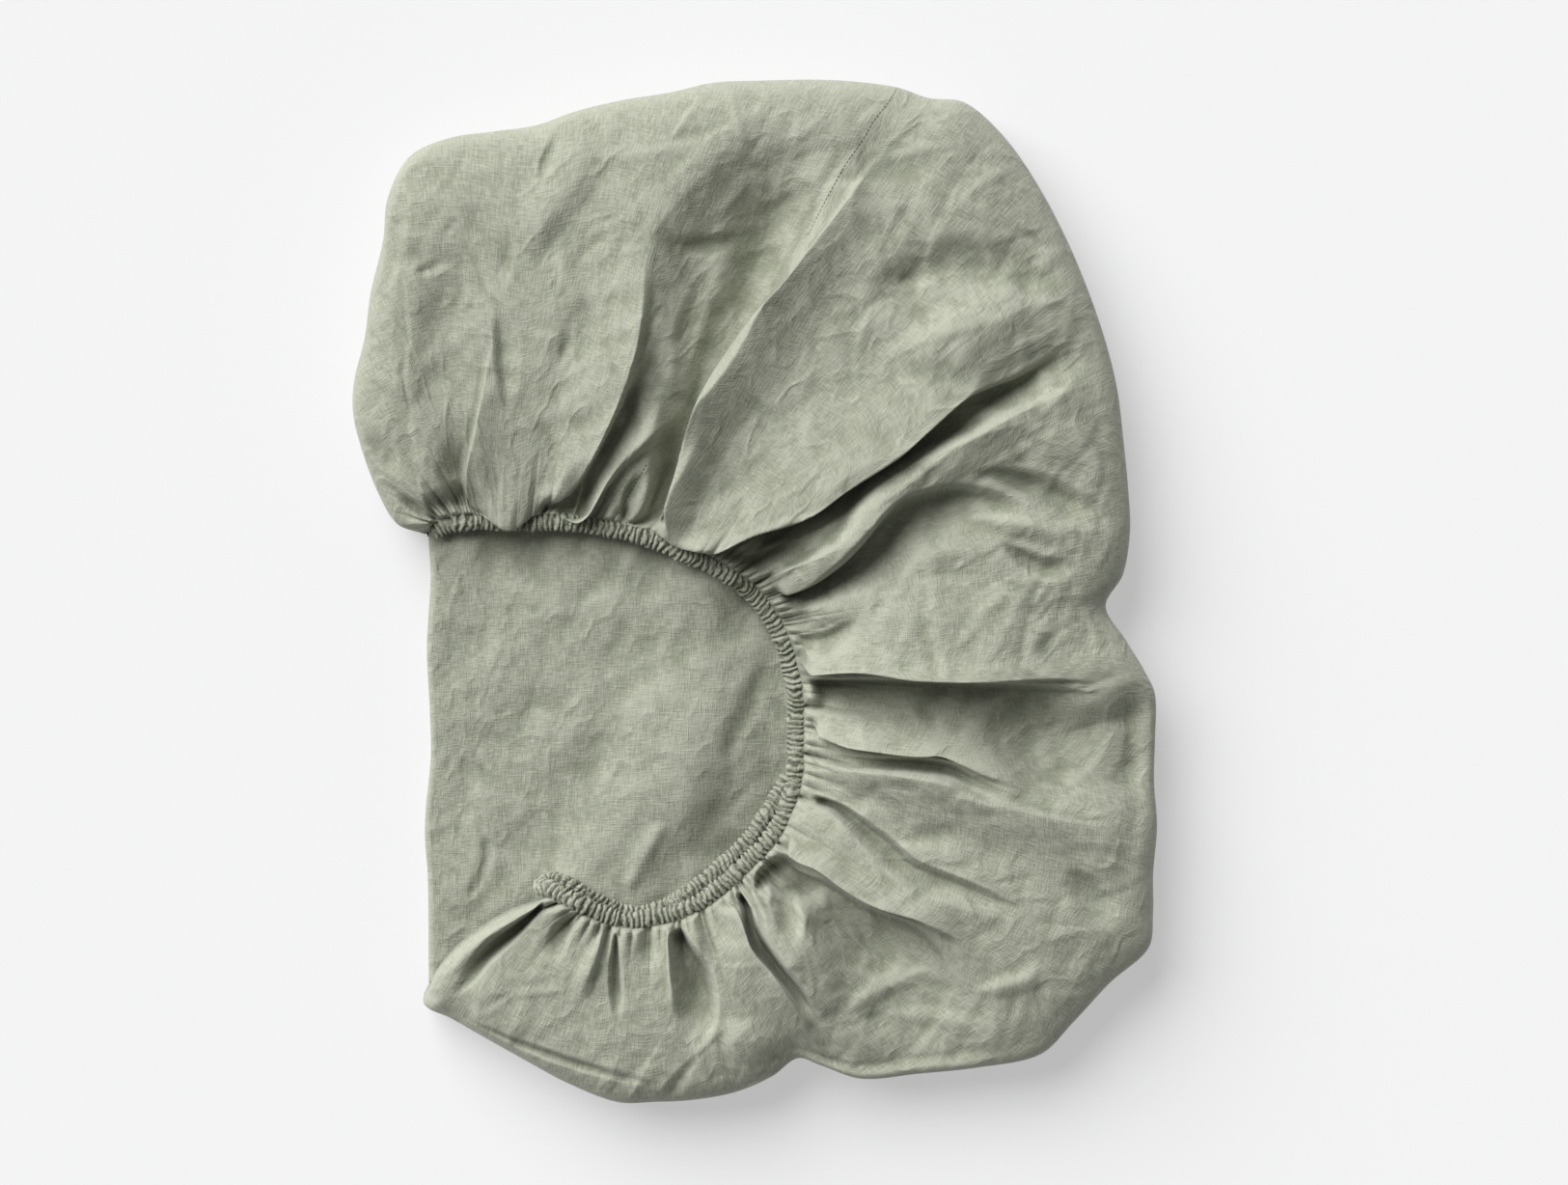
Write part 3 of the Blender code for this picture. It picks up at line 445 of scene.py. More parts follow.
def read(relief, plan_x, plan_y):
    """The relief at places of the plan, between its cells."""
    x = np.clip(plan_x - RELIEF_FROM[0], 0, RELIEF_SIZE[0] - 1.001)
    y = np.clip(plan_y - RELIEF_FROM[1], 0, RELIEF_SIZE[1] - 1.001)
    column, row = x.astype(int), y.astype(int)
    right, down = (x - column)[..., None], (y - row)[..., None]
    upper = relief[row, column] * (1 - right) + relief[row, column + 1] * right
    lower = relief[row + 1, column] * (1 - right) + relief[row + 1, column + 1] * right
    return upper * (1 - down) + lower * down


skirt_relief, panel_relief = new_relief(), new_relief()
hem_line = section_rows[:, 0:2]
for fold in FOLDS:
    from_hem = np.hypot(*(hem_line - fold.path[0]).T).min()
    broad = "root" in fold.name or "slope" in fold.name
    start_taper = 0.06 if from_hem < NEAR_HEM else 0.25 if broad else 0.4
    press(skirt_relief, fold, start_taper, flare=1.0 if broad else 0.35)
for fold in PANEL_FOLDS:
    press(panel_relief, fold, 0.12, 0.2, 1.0 if "slope" in fold.name else 0.5)
heights = skirt_relief[..., 2]
print("deepest trough", round(heights.min(), 1), "highest ridge", round(heights.max(), 1), "mm")

# %% [markdown]
# ## Small creases
#
# Washed linen keeps hundreds of small creases. They can't all be drawn by hand, so they are thrown
# down by a seeded random generator, with rules that come from the cloth: on the skirt they run
# mostly out from the hem, where the gathers pull, and on the panel they run up to the right. Under
# them lies a faint crumple: ridged noise, whose sharp lines look like paper that was smoothed out.
# The lower right corner is pulled smooth, so it is calmer, and the cloth gets more restless towards
# the right and the bottom.

# %% Throw down the small creases
dice = np.random.default_rng(7)


def scatter_creases(relief, count, box, heights, lengths, widths, heading_of):
    for _ in range(count):
        x, y = dice.uniform(box[0], box[2]), dice.uniform(box[1], box[3])
        heading = heading_of(x, y)
        length, bend = dice.uniform(*lengths), dice.normal(0, 0.35)
        points = [(x, y)]
        for _ in range(4):
            x, y = x + math.cos(heading) * length / 4, y + math.sin(heading) * length / 4
            heading += bend / 3 + dice.normal(0, 0.12)
            points.append((x, y))
        height = dice.uniform(*heights) * dice.choice([-1, 1], p=[0.55, 0.45])
        narrow, wide = dice.uniform(*widths), dice.uniform(*widths) * 1.7
        sides = (narrow, wide) if dice.random() < 0.5 else (wide, narrow)
        press(relief, Fold("crease", height, *sides, points, 0, dice.uniform(0, 0.8)), 0.4, 0.5, 0.5)


def out_from_hem(x, y):
    nearest = hem_line[np.argmin(np.hypot(*(hem_line - (x, y)).T))]
    away = math.hypot(x - nearest[0], y - nearest[1])
    return math.atan2(y - nearest[1], x - nearest[0]) + dice.normal(0, 0.3 + away / 420)


def up_to_right(x, y):
    return dice.choice([-0.9, -1.3, 0.2]) + dice.normal(0, 0.35)


def rolling(seed, x, y):
    """Smooth noise from about -1 to 1, whose lumps are one unit wide."""
    turns = np.random.default_rng(seed).uniform(0, 2 * math.pi, (64, 64))
    row, column = np.floor(y).astype(int), np.floor(x).astype(int)
    down, right = y - row, x - column
    corners = []
    for i in (0, 1):
        for j in (0, 1):
            turn = turns[(row + i) % 64, (column + j) % 64]
            corners.append(np.cos(turn) * (right - j) + np.sin(turn) * (down - i))
    across = smooth(right)
    upper = corners[0] * (1 - across) + corners[1] * across
    lower = corners[2] * (1 - across) + corners[3] * across
    return (upper * (1 - smooth(down)) + lower * smooth(down)) * 1.5


def crumple(seed, cell, turn, stretch=2.8):
    """Sharp ridges and sharp valleys that run mostly along one direction of the plan, from -1 to 1."""
    y, x = np.mgrid[0 : RELIEF_SIZE[1], 0 : RELIEF_SIZE[0]].astype(float)
    ahead = (x * math.cos(turn) + y * math.sin(turn)) / (cell * stretch)
    aside = (y * math.cos(turn) - x * math.sin(turn)) / cell
    aside = aside + 0.9 * rolling(seed + 50, ahead * 0.8, aside * 0.4)
    ridges = (1 - np.abs(rolling(seed, ahead, aside))) ** 3
    valleys = (1 - np.abs(rolling(seed + 25, ahead + 7.3, aside + 3.1))) ** 3
    return ridges - valleys


everywhere = (340, 70, 1210, 1150)
small_creases = new_relief()
scatter_creases(small_creases, 170, everywhere, (0.6, 1.8), (60, 190), (11, 26), out_from_hem)
scatter_creases(small_creases, 420, everywhere, (0.25, 0.9), (26, 110), (5, 10), out_from_hem)
scatter_creases(panel_relief, 60, (440, 560, 830, 1040), (0.4, 1.1), (60, 170), (10, 26), up_to_right)
scatter_creases(panel_relief, 110, (440, 560, 830, 1040), (0.15, 0.45), (24, 90), (5, 9), up_to_right)
grid_y, grid_x = np.mgrid[0 : RELIEF_SIZE[1], 0 : RELIEF_SIZE[0]]
grid_x, grid_y = grid_x + RELIEF_FROM[0], grid_y + RELIEF_FROM[1]
calm_corner = 1 - 0.5 * smooth((grid_x - 900) / 160) * smooth((grid_y - 860) / 120)
skirt_relief += small_creases * calm_corner[..., None]
restless = (0.55 + 0.45 * smooth((grid_x - 560) / 260) + 0.15 * smooth((grid_y - 800) / 200)) * calm_corner
restless = restless * (0.8 + 0.5 * rolling(90, grid_x / 120, grid_y / 120))
# A seed, the cell in plan steps, the turn in radians and the height in millimetres.
CRUMPLES = [
    (1, 58, -1.2, 1.2), (2, 50, -0.4, 0.8), (3, 34, -1.9, 0.45), (4, 30, 0.3, 0.35), (5, 17, -0.9, 0.12),
]
for seed, cell, turn, height in CRUMPLES:
    skirt_relief[..., 2] += crumple(seed, cell, turn) * height * restless
    panel_relief[..., 2] += crumple(seed + 10, cell, turn - 0.2) * height * 0.6
print("small creases thrown down")

# %% [markdown]
# ## The packet
#
# Below the hem the sheet lies folded back and forth. Its top layer is the panel that shows inside
# the curve of the elastic. Its left edges are soft round folds, one above the other. Where the
# skirt has its deepest hollows the packet gives way under them, the lower layers less.

# %% Heights inside the packet
CLOTH = 0.0016
LAYER_PITCH = 0.005
LAYERS = 5
PACKET_LEFT = 450
PACKET_RIGHT = 1056
# The left edge goes down the plan, as down and across. The other two go across it, as across and down.
PACKET_EDGE = [
    (567, 450), (600, 452), (674, 448), (736, 451), (786, 452), (837, 447), (870, 446),
    (910, 449), (1018, 450),
]
PACKET_TOP = [(449, 552), (470, 500), (520, 400), (620, 315), (800, 262), (1056, 330)]
PACKET_BOTTOM = [(450, 1018), (480, 1026), (560, 1052), (720, 1078), (900, 1066), (1056, 1010)]
PACKET_EDGE_STEPS = (0.0, 3.0, -1.0)
MOST_SAG = 13


def packet_height(plan_x, plan_y, layer):
    """The height in millimetres of a layer of the packet, counted from the underside."""
    wave = (
        0.7 * np.sin(plan_x / 38 + plan_y / 61)
        + 0.6 * np.sin(plan_x / 57 - plan_y / 33 + 1.0)
        + 0.4 * np.sin(plan_x / 21 + plan_y / 27 + 2.0)
    )
    flat_edge = smooth((plan_x - PACKET_LEFT) / 60)
    level = (CLOTH / 2 + layer * LAYER_PITCH) / MM
    return level + wave * flat_edge * layer / LAYERS


def packet_top(plan_x, plan_y):
    lie = read(panel_relief, plan_x, plan_y)[..., 2]
    return packet_height(plan_x, plan_y, LAYERS) + np.maximum(lie, -MOST_SAG)


def hidden_layer(plan_x, plan_y, layer):
    """A layer below the panel, which gives way where the panel sinks."""
    sunk = np.clip(read(panel_relief, plan_x, plan_y)[..., 2], -MOST_SAG, 0)
    return packet_height(plan_x, plan_y, layer) + sunk * (layer / LAYERS) ** 0.7


# %% [markdown]
# ## The skirt
#
# The skirt could be draped by a simulation alone, but then its folds would fall anywhere. Here the
# puff is laid over the sections, the relief shifts it, and the hem's gathers are added: rounded
# pleats with narrow valleys that die out away from the elastic. In a few places the cloth curls
# back over the hem, and is calm there. Every point stays above the packet. At the rim a wall with
# faint crinkles goes down to the table and is tucked in.

# %% Lay the skirt over its sections
HEM_HALF_WIDTH = 0.0042
HEM_REST = 3.7
SKIRT_ROWS = 126
TURN_ROWS = 16
TUCK = 0.010
PEAK = 0.42
RIM_SHARE = 0.52
HEM_RUN_SHARE = 0.24


def gather_wave(run, pitch, shift):
    """Rounded pleats with narrow valleys, unevenly spaced, from -1 to 1."""
    phase = run / pitch + 0.55 * np.sin(run / 47 + shift) + 0.35 * np.sin(run / 17 + 1 + shift)
    return 2 * np.abs(np.sin(np.pi * phase)) ** 0.7 - 1


def share_of_curl(from_hem):
    """How far the cloth billows back over the hem, most at 26 steps from it."""
    return (from_hem / 26 * np.exp(1 - from_hem / 26)) ** 1.6


def hem_height(plan, lift):
    """The height in millimetres of the hem's middle, on the packet or lifted off it."""
    return packet_top(plan[..., 0], plan[..., 1]) + HEM_REST + lift


ALLOWANCE = 3
END_BOW = 22
END_BOW_RUN = 190
END_ROUND = 34
Curl = namedtuple("Curl", "x y width reach lift")
CURLS = [
    Curl(528, 541, 26, 36, 5),
    Curl(590, 543, 15, 22, 4),
    Curl(650, 553, 14, 12, 3),
    Curl(696, 565, 22, 20, 5),
    Curl(822, 690, 14, 8, 2),
    Curl(815, 845, 18, 12, 3),
]


def skirt(count, first, last):
    """Rows of plan x, plan y and height from the hem over the crown, round the rim to the table."""
    columns = sections(count, first, last)
    hem, lift, rim, crown = columns[:, 0:2], columns[:, 2], columns[:, 3:5], columns[:, 5]
    heading = np.gradient(hem, axis=0)
    heading /= np.linalg.norm(heading, axis=1)[:, None]
    outward = np.stack([heading[:, 1], -heading[:, 0]], axis=1)
    start = hem + outward * 0.55 * HEM_HALF_WIDTH / PLAN_STEP
    start_height = hem_height(hem, lift)
    rim_height = RIM_SHARE * crown
    share = np.linspace(0, 1, SKIRT_ROWS)[:, None]
    share = share * 0.55 + 0.45 * (1 - np.cos(np.pi * share)) / 2
    plan_x = start[:, 0] + (rim[:, 0] - start[:, 0]) * share
    plan_y = start[:, 1] + (rim[:, 1] - start[:, 1]) * share
    # Up from the hem to the crown, and then slowly down to the rim.
    rise = start_height + (crown - start_height) * (1 - (1 - np.clip(share / PEAK, 0, 1)) ** 2.2)
    past = np.clip((share - PEAK) / (1 - PEAK), 0, 1)
    fall = rim_height + (crown - rim_height) * (1 - past**3.8) ** (1 / 2.6)
    height = np.where(share < PEAK, rise, fall)
    reach = np.linalg.norm(rim - start, axis=1)
    from_hem = share * reach
    knots = section_knots[-1] * (first + (last - first) * np.linspace(0, 1, count))
    ahead = (rim - start) / reach[:, None]
    bow = END_BOW * smooth(1 - (section_knots[-1] - knots) / END_BOW_RUN) * 4 * share * (1 - share)
    plan_x, plan_y = plan_x - bow * ahead[:, 1], plan_y + bow * ahead[:, 0]
    # The relief shifts the cloth, except where the hem and the rim hold it.
    hold = smooth((from_hem - 3) / 22) * smooth((1 - share) / 0.10 + 0.12)
    shift = read(skirt_relief, plan_x, plan_y) * hold[..., None]
    plan_x, plan_y = plan_x + shift[..., 0], plan_y + shift[..., 1]
    lowest = packet_top(plan_x, plan_y) + 1.2
    lowest = np.where(height < lowest, height, lowest)
    lifted = (height + shift[..., 2] - lowest) * 0.9
    height = lowest + np.logaddexp(0, lifted) / 0.9
    # Curls over the hem, and the gathers between them.
    calm = np.ones(count)
    for curl in CURLS:
        nearest = np.hypot(hem[:, 0] - curl.x, hem[:, 1] - curl.y)
        calm = calm * (1 - 0.85 * np.exp(-((nearest / (1.3 * curl.width)) ** 2)))
        weight = np.exp(-((nearest / curl.width) ** 2)) * share_of_curl(from_hem)
        plan_x = plan_x - outward[:, 0] * curl.reach * weight
        plan_y = plan_y - outward[:, 1] * curl.reach * weight
        height = height + curl.lift * weight
    hem_run = knots * HEM_RUN_SHARE
    fine = gather_wave(hem_run, 8.0, 0.0) * 2.6 * np.exp(-((from_hem / 19) ** 1.5))
    coarse = gather_wave(hem_run, 23.0, 2.0) * 4.8 * np.exp(-((from_hem / 38) ** 1.4))
    height = height + (fine + coarse) * smooth((from_hem - 2) / 6) * calm
    # Both ends of the skirt are rounded down to what they lie on.
    from_end = np.minimum(knots + 2, section_knots[-1] - knots + 2) / END_ROUND
    round_end = np.sqrt(1 - (1 - np.clip(from_end, 0, 1)) ** 2)
    low = 1.2 + packet_top(plan_x, plan_y) * smooth((plan_x - 442) / 12) * smooth((1034 - plan_y) / 12)
    height = low + (height - low) * round_end
    # Down the rim's wall, and under.
    tuck = np.minimum(TUCK / PLAN_STEP, 0.35 * reach)
    inward = (start - rim) / reach[:, None]
    angle = np.linspace(0, np.pi / 2, TURN_ROWS + 1)[1:, None]
    run = (1 - np.cos(angle)) * tuck
    base = CLOTH / 2 / MM
    rim_run = np.append(0, np.cumsum(np.hypot(*np.diff(rim, axis=0).T))) + 400 * first
    crinkle = rolling(61, rim_run / 34 + 0.5 * angle, angle + 3)
    crinkle = crinkle + 0.6 * rolling(62, rim_run / 13 - angle, 2 * angle + 5)
    run = run + np.maximum(1.6 + 3.2 * crinkle, 0) * np.sin(angle) * np.sin(2 * np.minimum(angle, np.pi / 4))
    turn_x = plan_x[-1] + run * inward[:, 0]
    turn_y = plan_y[-1] + run * inward[:, 1]
    turn_height = base + (height[-1] - base) * (1 - np.sin(angle))
    return np.vstack([plan_x, turn_x]), np.vstack([plan_y, turn_y]), np.vstack([height, turn_height])


# %% [markdown]
# ## From points to cloth
#
# A grid of points becomes a mesh of quads with a UV map in metres, so that a weave can follow the
# cloth as it turns. A second value on the points is high on ridges and low in troughs. It is how
# much lower the neighbours lie. It makes ridges paler, as real linen is where its creases have
# rubbed, and troughs darker, which is painted shade. A Solidify modifier then gives the sheet's
# edges the thickness of linen, inwards. It adds only the rim: a second surface inside the folds
# would double the triangles and never be seen.

# %% Make a sheet from rows of points
LINEN = 0.0007


def box_blur(values, radius):
    """A mean over a square of neighbours in a grid."""
    for axis in (0, 1):
        before = np.repeat(values.take([0], axis), radius + 1, axis)
        after = np.repeat(values.take([-1], axis), radius, axis)
        total = np.cumsum(np.concatenate([before, values, after], axis), axis)
        size = values.shape[axis]
        ahead = total.take(range(2 * radius + 1, 2 * radius + 1 + size), axis)
        values = (ahead - total.take(range(size), axis)) / (2 * radius + 1)
    return values


def add_sheet(name, plan_x, plan_y, height, u, v, wear_and_shade):
    rows, columns = plan_x.shape
    points = to_metres(plan_x, plan_y, height).reshape(-1, 3)
    index = np.arange(rows * columns).reshape(rows, columns)
    quads = np.stack([index[:-1, :-1], index[:-1, 1:], index[1:, 1:], index[1:, :-1]], axis=-1).reshape(-1, 4)
    mesh = bpy.data.meshes.new(name)
    mesh.vertices.add(len(points))
    mesh.vertices.foreach_set("co", points.ravel())
    mesh.loops.add(quads.size)
    mesh.loops.foreach_set("vertex_index", quads.ravel())
    mesh.polygons.add(len(quads))
    mesh.polygons.foreach_set("loop_start", np.arange(0, quads.size, 4))
    mesh.update(calc_edges=True)
    layer = mesh.uv_layers.new(name="Cloth")
    flat = np.stack([u, v], axis=-1).reshape(-1, 2)[quads.ravel()]
    layer.data.foreach_set("uv", flat.ravel())
    mesh.attributes.new("wear_and_shade", "FLOAT", "POINT").data.foreach_set("value", wear_and_shade.ravel())
    mesh.shade_smooth()
    mesh.validate()
    piece = add_object(name, mesh)
    thick = piece.modifiers.new("Linen thickness", "SOLIDIFY")
    thick.thickness = LINEN
    thick.offset = -1
    thick.use_rim_only = True
    return piece


def wear_and_shade_of(height):
    """How proud each point stands of its surroundings, about -1 to 1."""
    return np.clip((height - box_blur(height, 5)) / 0.8, -1, 1)


def down_the_rows(points):
    """Distances in metres down each column of a grid of points."""
    steps = np.linalg.norm(np.diff(points, axis=0), axis=2)
    return np.vstack([np.zeros((1, points.shape[1])), np.cumsum(steps, axis=0)])


def flat_lengths(plan_x, plan_y, height):
    """Distances in metres across the columns, at the skirt's middle, and down the rows."""
    points = to_metres(plan_x, plan_y, height)
    middle = points[len(points) * 55 // 100]
    across = np.append(0, np.cumsum(np.linalg.norm(np.diff(middle, axis=0), axis=1)))
    smooth_path = to_metres(box_blur(plan_x, 6), box_blur(plan_y, 6), box_blur(height, 6))
    return np.broadcast_to(across, plan_x.shape), down_the_rows(smooth_path)


# A name, and the sections between which the part lies.
SKIRT_PARTS = [
    ("skirt_left", 0, 21), ("skirt_right", 21, 37), ("skirt_lower_right", 37, 49), ("skirt_front", 49, 63),
]
COLUMN_STEP = 0.00082
skirt_pieces = []
across_so_far = 0.0
for name, first_section, last_section in SKIRT_PARTS:
    first, last = section_knots[first_section], section_knots[last_section]
    count = int((last - first) * PLAN_STEP * 0.86 / COLUMN_STEP)
    column = (last - first) / (count - 1)
    before = ALLOWANCE if first_section else 0
    after = ALLOWANCE if last_section < len(SECTIONS) - 1 else 0
    ends = np.array([first - before * column, last + after * column]) / section_knots[-1]
    plan_x, plan_y, height = skirt(count + before + after, *ends)
    from_edge = np.zeros(count + before + after)
    from_edge[:before] = np.arange(before, 0, -1)
    from_edge[count + before :] = np.arange(1, after + 1)
    height = np.maximum(height - 0.12 * from_edge**1.6, CLOTH / 2 / MM)
    u, v = flat_lengths(plan_x, plan_y, height)
    piece = add_sheet(name, plan_x, plan_y, height, u + across_so_far, v, wear_and_shade_of(height))
    skirt_pieces.append(piece)
    across_so_far += u[0, -1 - after]
    print(name, "columns", count, "quads", len(piece.data.polygons), "top", round(height.max(), 1), "mm")

# %% [markdown]
# ## The packet's layers
#
# One more sheet runs on from the skirt's foot: the underside on the table, and then the layers back
# and forth. Only the last one shows well, so it gets most of the rows.

# %% Fold the packet
UNDER_ROWS = 6
HIDDEN_ROWS = 14
PANEL_ROWS = 170
BEND_ROWS = 7
PACKET_COLUMNS = 150


def packet():
    foot_x, foot_y, _ = skirt(PACKET_COLUMNS, 0.0, 1.0)
    share = np.linspace(0, 1, PACKET_COLUMNS)
    edge_y = PACKET_TOP[0][1] + share * (PACKET_BOTTOM[0][1] - PACKET_TOP[0][1])
    edge = np.array(PACKET_EDGE, float)
    edge_x = through(edge[:, 0], edge[:, 1:], edge_y)[:, 0]
    top, bottom = np.array(PACKET_TOP, float), np.array(PACKET_BOTTOM, float)
    base = CLOTH / 2 / MM
    rows = []
    for run in np.linspace(0, 1, UNDER_ROWS + 1):
        x = foot_x[-1] + (edge_x - foot_x[-1]) * run
        rows.append((x, foot_y[-1] + (edge_y - foot_y[-1]) * run, base + 0 * share))

    def place(run, height_of):
        across = PACKET_LEFT + run * (PACKET_RIGHT - PACKET_LEFT)
        y_top = np.interp(across, top[:, 0], top[:, 1])
        y = y_top + share * (np.interp(across, bottom[:, 0], bottom[:, 1]) - y_top)
        x = across + (edge_x - PACKET_LEFT) * (1 - run)
        return x, y, height_of(x, y)

    for layer in range(1, LAYERS + 1):
        from_left = layer % 2 == 1
        side = 0.0 if from_left else 1.0
        x, y, low = place(side, lambda x, y: hidden_layer(x, y, layer - 1))
        high = hidden_layer(x, y, layer)
        reach = -1 if from_left else 1
        step = PACKET_EDGE_STEPS[layer // 2] if from_left else 0
        for angle in np.linspace(0, np.pi, BEND_ROWS + 2)[1:-1]:
            bulge = (LAYER_PITCH / 2 / PLAN_STEP - step * 0.5) * np.sin(angle)
            rows.append((x + reach * bulge, y, low + (high - low) * (1 - np.cos(angle)) / 2))
        last = layer == LAYERS
        for run in np.linspace(0, 1, PANEL_ROWS if last else HIDDEN_ROWS) ** (1.6 if last else 1):
            run = run if from_left else 1 - run
            rows.append(place(run, packet_top if last else lambda x, y: hidden_layer(x, y, layer)))
    return [np.vstack([row[i] for row in rows]) for i in range(3)]


packet_grid = packet()
points = to_metres(*packet_grid)
down = down_the_rows(points)
panel_v = np.broadcast_to(down.mean(axis=1)[:, None], down.shape)
packet_piece = add_sheet("folded_panel", *packet_grid, points[..., 1], panel_v, wear_and_shade_of(packet_grid[2]))
print("packet quads", len(packet_piece.data.polygons))

# %% [markdown]
# ## Linen
#
# Linen is a plain weave of uneven threads. From above its threads are too fine to count, but the
# slubs show: short thick stretches of thread, along and across, a little lighter or darker. The
# colour wanders softly and ridges are rubbed paler. Troughs are darker in colour, as painted shade.
# The smallest wrinkles are left to the bump. Nodes are joined by a small class that turns Python
# sums into Math nodes, so that a mask reads like a formula.

# %% A small class for shader maths
BUMP_DEPTH = 0.00035


class Wire:
    """A node socket that can be used in sums. A number after the underscore names an input by its place."""

    def __init__(self, tree, socket):
        self.tree, self.socket = tree, socket

    def node(self, kind, settings=None, **inputs):
        made = self.tree.nodes.new(kind)
        for key, value in (settings or {}).items():
            setattr(made, key, value)
        for key, value in inputs.items():
            target = made.inputs[int(key[1:])] if key[1:].isdigit() else made.inputs[key.replace("_", " ")]
            if isinstance(value, Wire):
                self.tree.links.new(value.socket, target)
            else:
                target.default_value = value
        return made

    def out(self, kind, settings=None, output=0, **inputs):
        return Wire(self.tree, self.node(kind, settings, **inputs).outputs[output])

    def maths(self, operation, first, second):
        return self.out("ShaderNodeMath", {"operation": operation}, _0=first, _1=second)

    def __add__(self, other):
        return self.maths("ADD", self, other)

    def __sub__(self, other):
        return self.maths("SUBTRACT", self, other)

    def __rsub__(self, other):
        return self.maths("SUBTRACT", other, self)

    def __mul__(self, other):
        return self.maths("MULTIPLY", self, other)

    def __truediv__(self, other):
        return self.maths("DIVIDE", self, other)

    __radd__, __rmul__ = __add__, __mul__

    def __abs__(self):
        return self.maths("ABSOLUTE", self, 0.0)

    def clamp(self, low, high):
        return self.maths("MINIMUM", self.maths("MAXIMUM", self, low), high)

    def sine(self):
        return self.maths("SINE", self, 0.0)

    def vector(self, operation, **inputs):
        return self.out("ShaderNodeVectorMath", {"operation": operation}, _0=self, **inputs)

    def stretched(self, across, down):
        return self.vector("MULTIPLY", _1=(across, down, 1.0))

    def noise(self, scale, detail=2.0, kind="2D"):
        settings = {"noise_dimensions": kind}
        return self.out("ShaderNodeTexNoise", settings, Vector=self, Scale=scale, Detail=detail)

    def step(self, low, high):
        settings = {"interpolation_type": "SMOOTHSTEP"}
        return self.out("ShaderNodeMapRange", settings, Value=self, From_Min=low, From_Max=high)


def start_material(name):
    material = bpy.data.materials.new(name)
    material.use_nodes = True
    tree = material.node_tree
    shader = tree.nodes["Principled BSDF"]
    return material, tree, shader


def finish_surface(tree, shader, colour, roughness, height):
    tree.links.new(colour.socket, shader.inputs["Base Color"])
    tree.links.new(roughness.socket, shader.inputs["Roughness"])
    bump = height.node("ShaderNodeBump", Height=height, Strength=1.0, Distance=BUMP_DEPTH)
    tree.links.new(bump.outputs[0], shader.inputs["Normal"])
    shader.inputs["Sheen Weight"].default_value = 0.22
    shader.inputs["Sheen Roughness"].default_value = 0.5
    shader.inputs["Specular IOR Level"].default_value = 0.25


def mix_colour(amount, first, second):
    return amount.out("ShaderNodeMix", {"data_type": "RGBA"}, 2, _0=amount, _6=first, _7=second)


# %% The linen itself
# The deep colour serves both the darker threads and the painted shade in the troughs.
SAGE = (0.330, 0.345, 0.268, 1)
SAGE_DEEP = (0.235, 0.252, 0.184, 1)
SAGE_PALE = (0.415, 0.425, 0.345, 1)


def linen(name, deep=SAGE_DEEP, slub=1.0):
    material, tree, shader = start_material(name)
    start = Wire(tree, None)
    cloth = start.out("ShaderNodeUVMap", {"uv_map": "Cloth"})
    wear_and_shade = start.out("ShaderNodeAttribute", {"attribute_name": "wear_and_shade"}, 2)
    weft = cloth.stretched(150, 1300).noise(1.0, 1.0)
    warp = cloth.stretched(1300, 150).noise(1.0, 1.0)
    weft_slub = cloth.stretched(75, 900).noise(1.0, 1.0).step(0.62, 0.80)
    warp_slub = cloth.stretched(900, 75).noise(1.0, 1.0).step(0.62, 0.80)
    grain = (weft - 0.5) + (warp - 0.5)
    cloudy = cloth.noise(24.0, 3.0) - 0.5
    wrinkle = 1.0 - abs(cloth.noise(34.0, 2.0) * 2.0 - 1.0) * 5.0
    slubs = weft_slub + warp_slub
    pale = (wear_and_shade * 0.24 + cloudy * 0.35 + grain * 1.5 + slubs * (0.42 * slub) + 0.38).clamp(0, 1)
    # The dark mask adds painted shade in the troughs to the darker threads of the grain.
    dark = (wear_and_shade * -0.5 - grain * 0.9 + 0.18).clamp(0, 1)
    colour = mix_colour(pale, SAGE, SAGE_PALE)
    colour = mix_colour(dark, colour, deep)
    relief = weft * 0.5 + warp * 0.5 + slubs * (0.25 * slub) + cloth.noise(700.0, 2.0) * 0.5
    relief = relief + wrinkle.clamp(0, 1) * 1.2
    finish_surface(tree, shader, colour, 0.98 - pale * 0.12, relief)
    return material


washed_linen = linen("Washed linen")
for piece in skirt_pieces + [packet_piece]:
    piece.data.materials.append(washed_linen)
print("linen nodes", len(washed_linen.node_tree.nodes))

# %% [markdown]
# ## The elastic edge
#
# The hem is a channel of the same cloth, drawn in over elastic to a third of its length, so that it
# is all small ruches. It could be an array of rings, but real ruches run into each other and slant.
# So a tube is swept along the hem with Geometry Nodes, and its wall is pushed in and out by a wave
# along the path, whose phase wanders with the place and turns with the angle round the tube. At
# the front end the path turns back, dips under itself and runs along its own inner side.

# %% The hem's path
# Across, down, and the lift in millimetres.
HEM_RETURN = [
    (572, 919, 7.8), (566, 918, 6.4), (563, 916, 4.3), (566, 914, 2.2), (572, 912, 0.8),
    (582, 912, 0.5), (598, 919, 0.5), (618, 932, 0.5), (645, 944, 0.5), (676, 944, 0.5),
    (704, 932, 0.5), (728, 915, 0.5), (752, 895, 0.5), (774, 873, 0.5), (793, 848, 0.5),
    (806, 826, 0.5), (818, 806, 0.3),
]
hem_ahead = evenly(sections(400)[:, 0:3], 70)
hem_route = evenly(np.vstack([hem_ahead, np.array(HEM_RETURN, float)]), 420)
hem_points = to_metres(hem_route[:, 0], hem_route[:, 1], hem_height(hem_route[:, 0:2], hem_route[:, 2]))


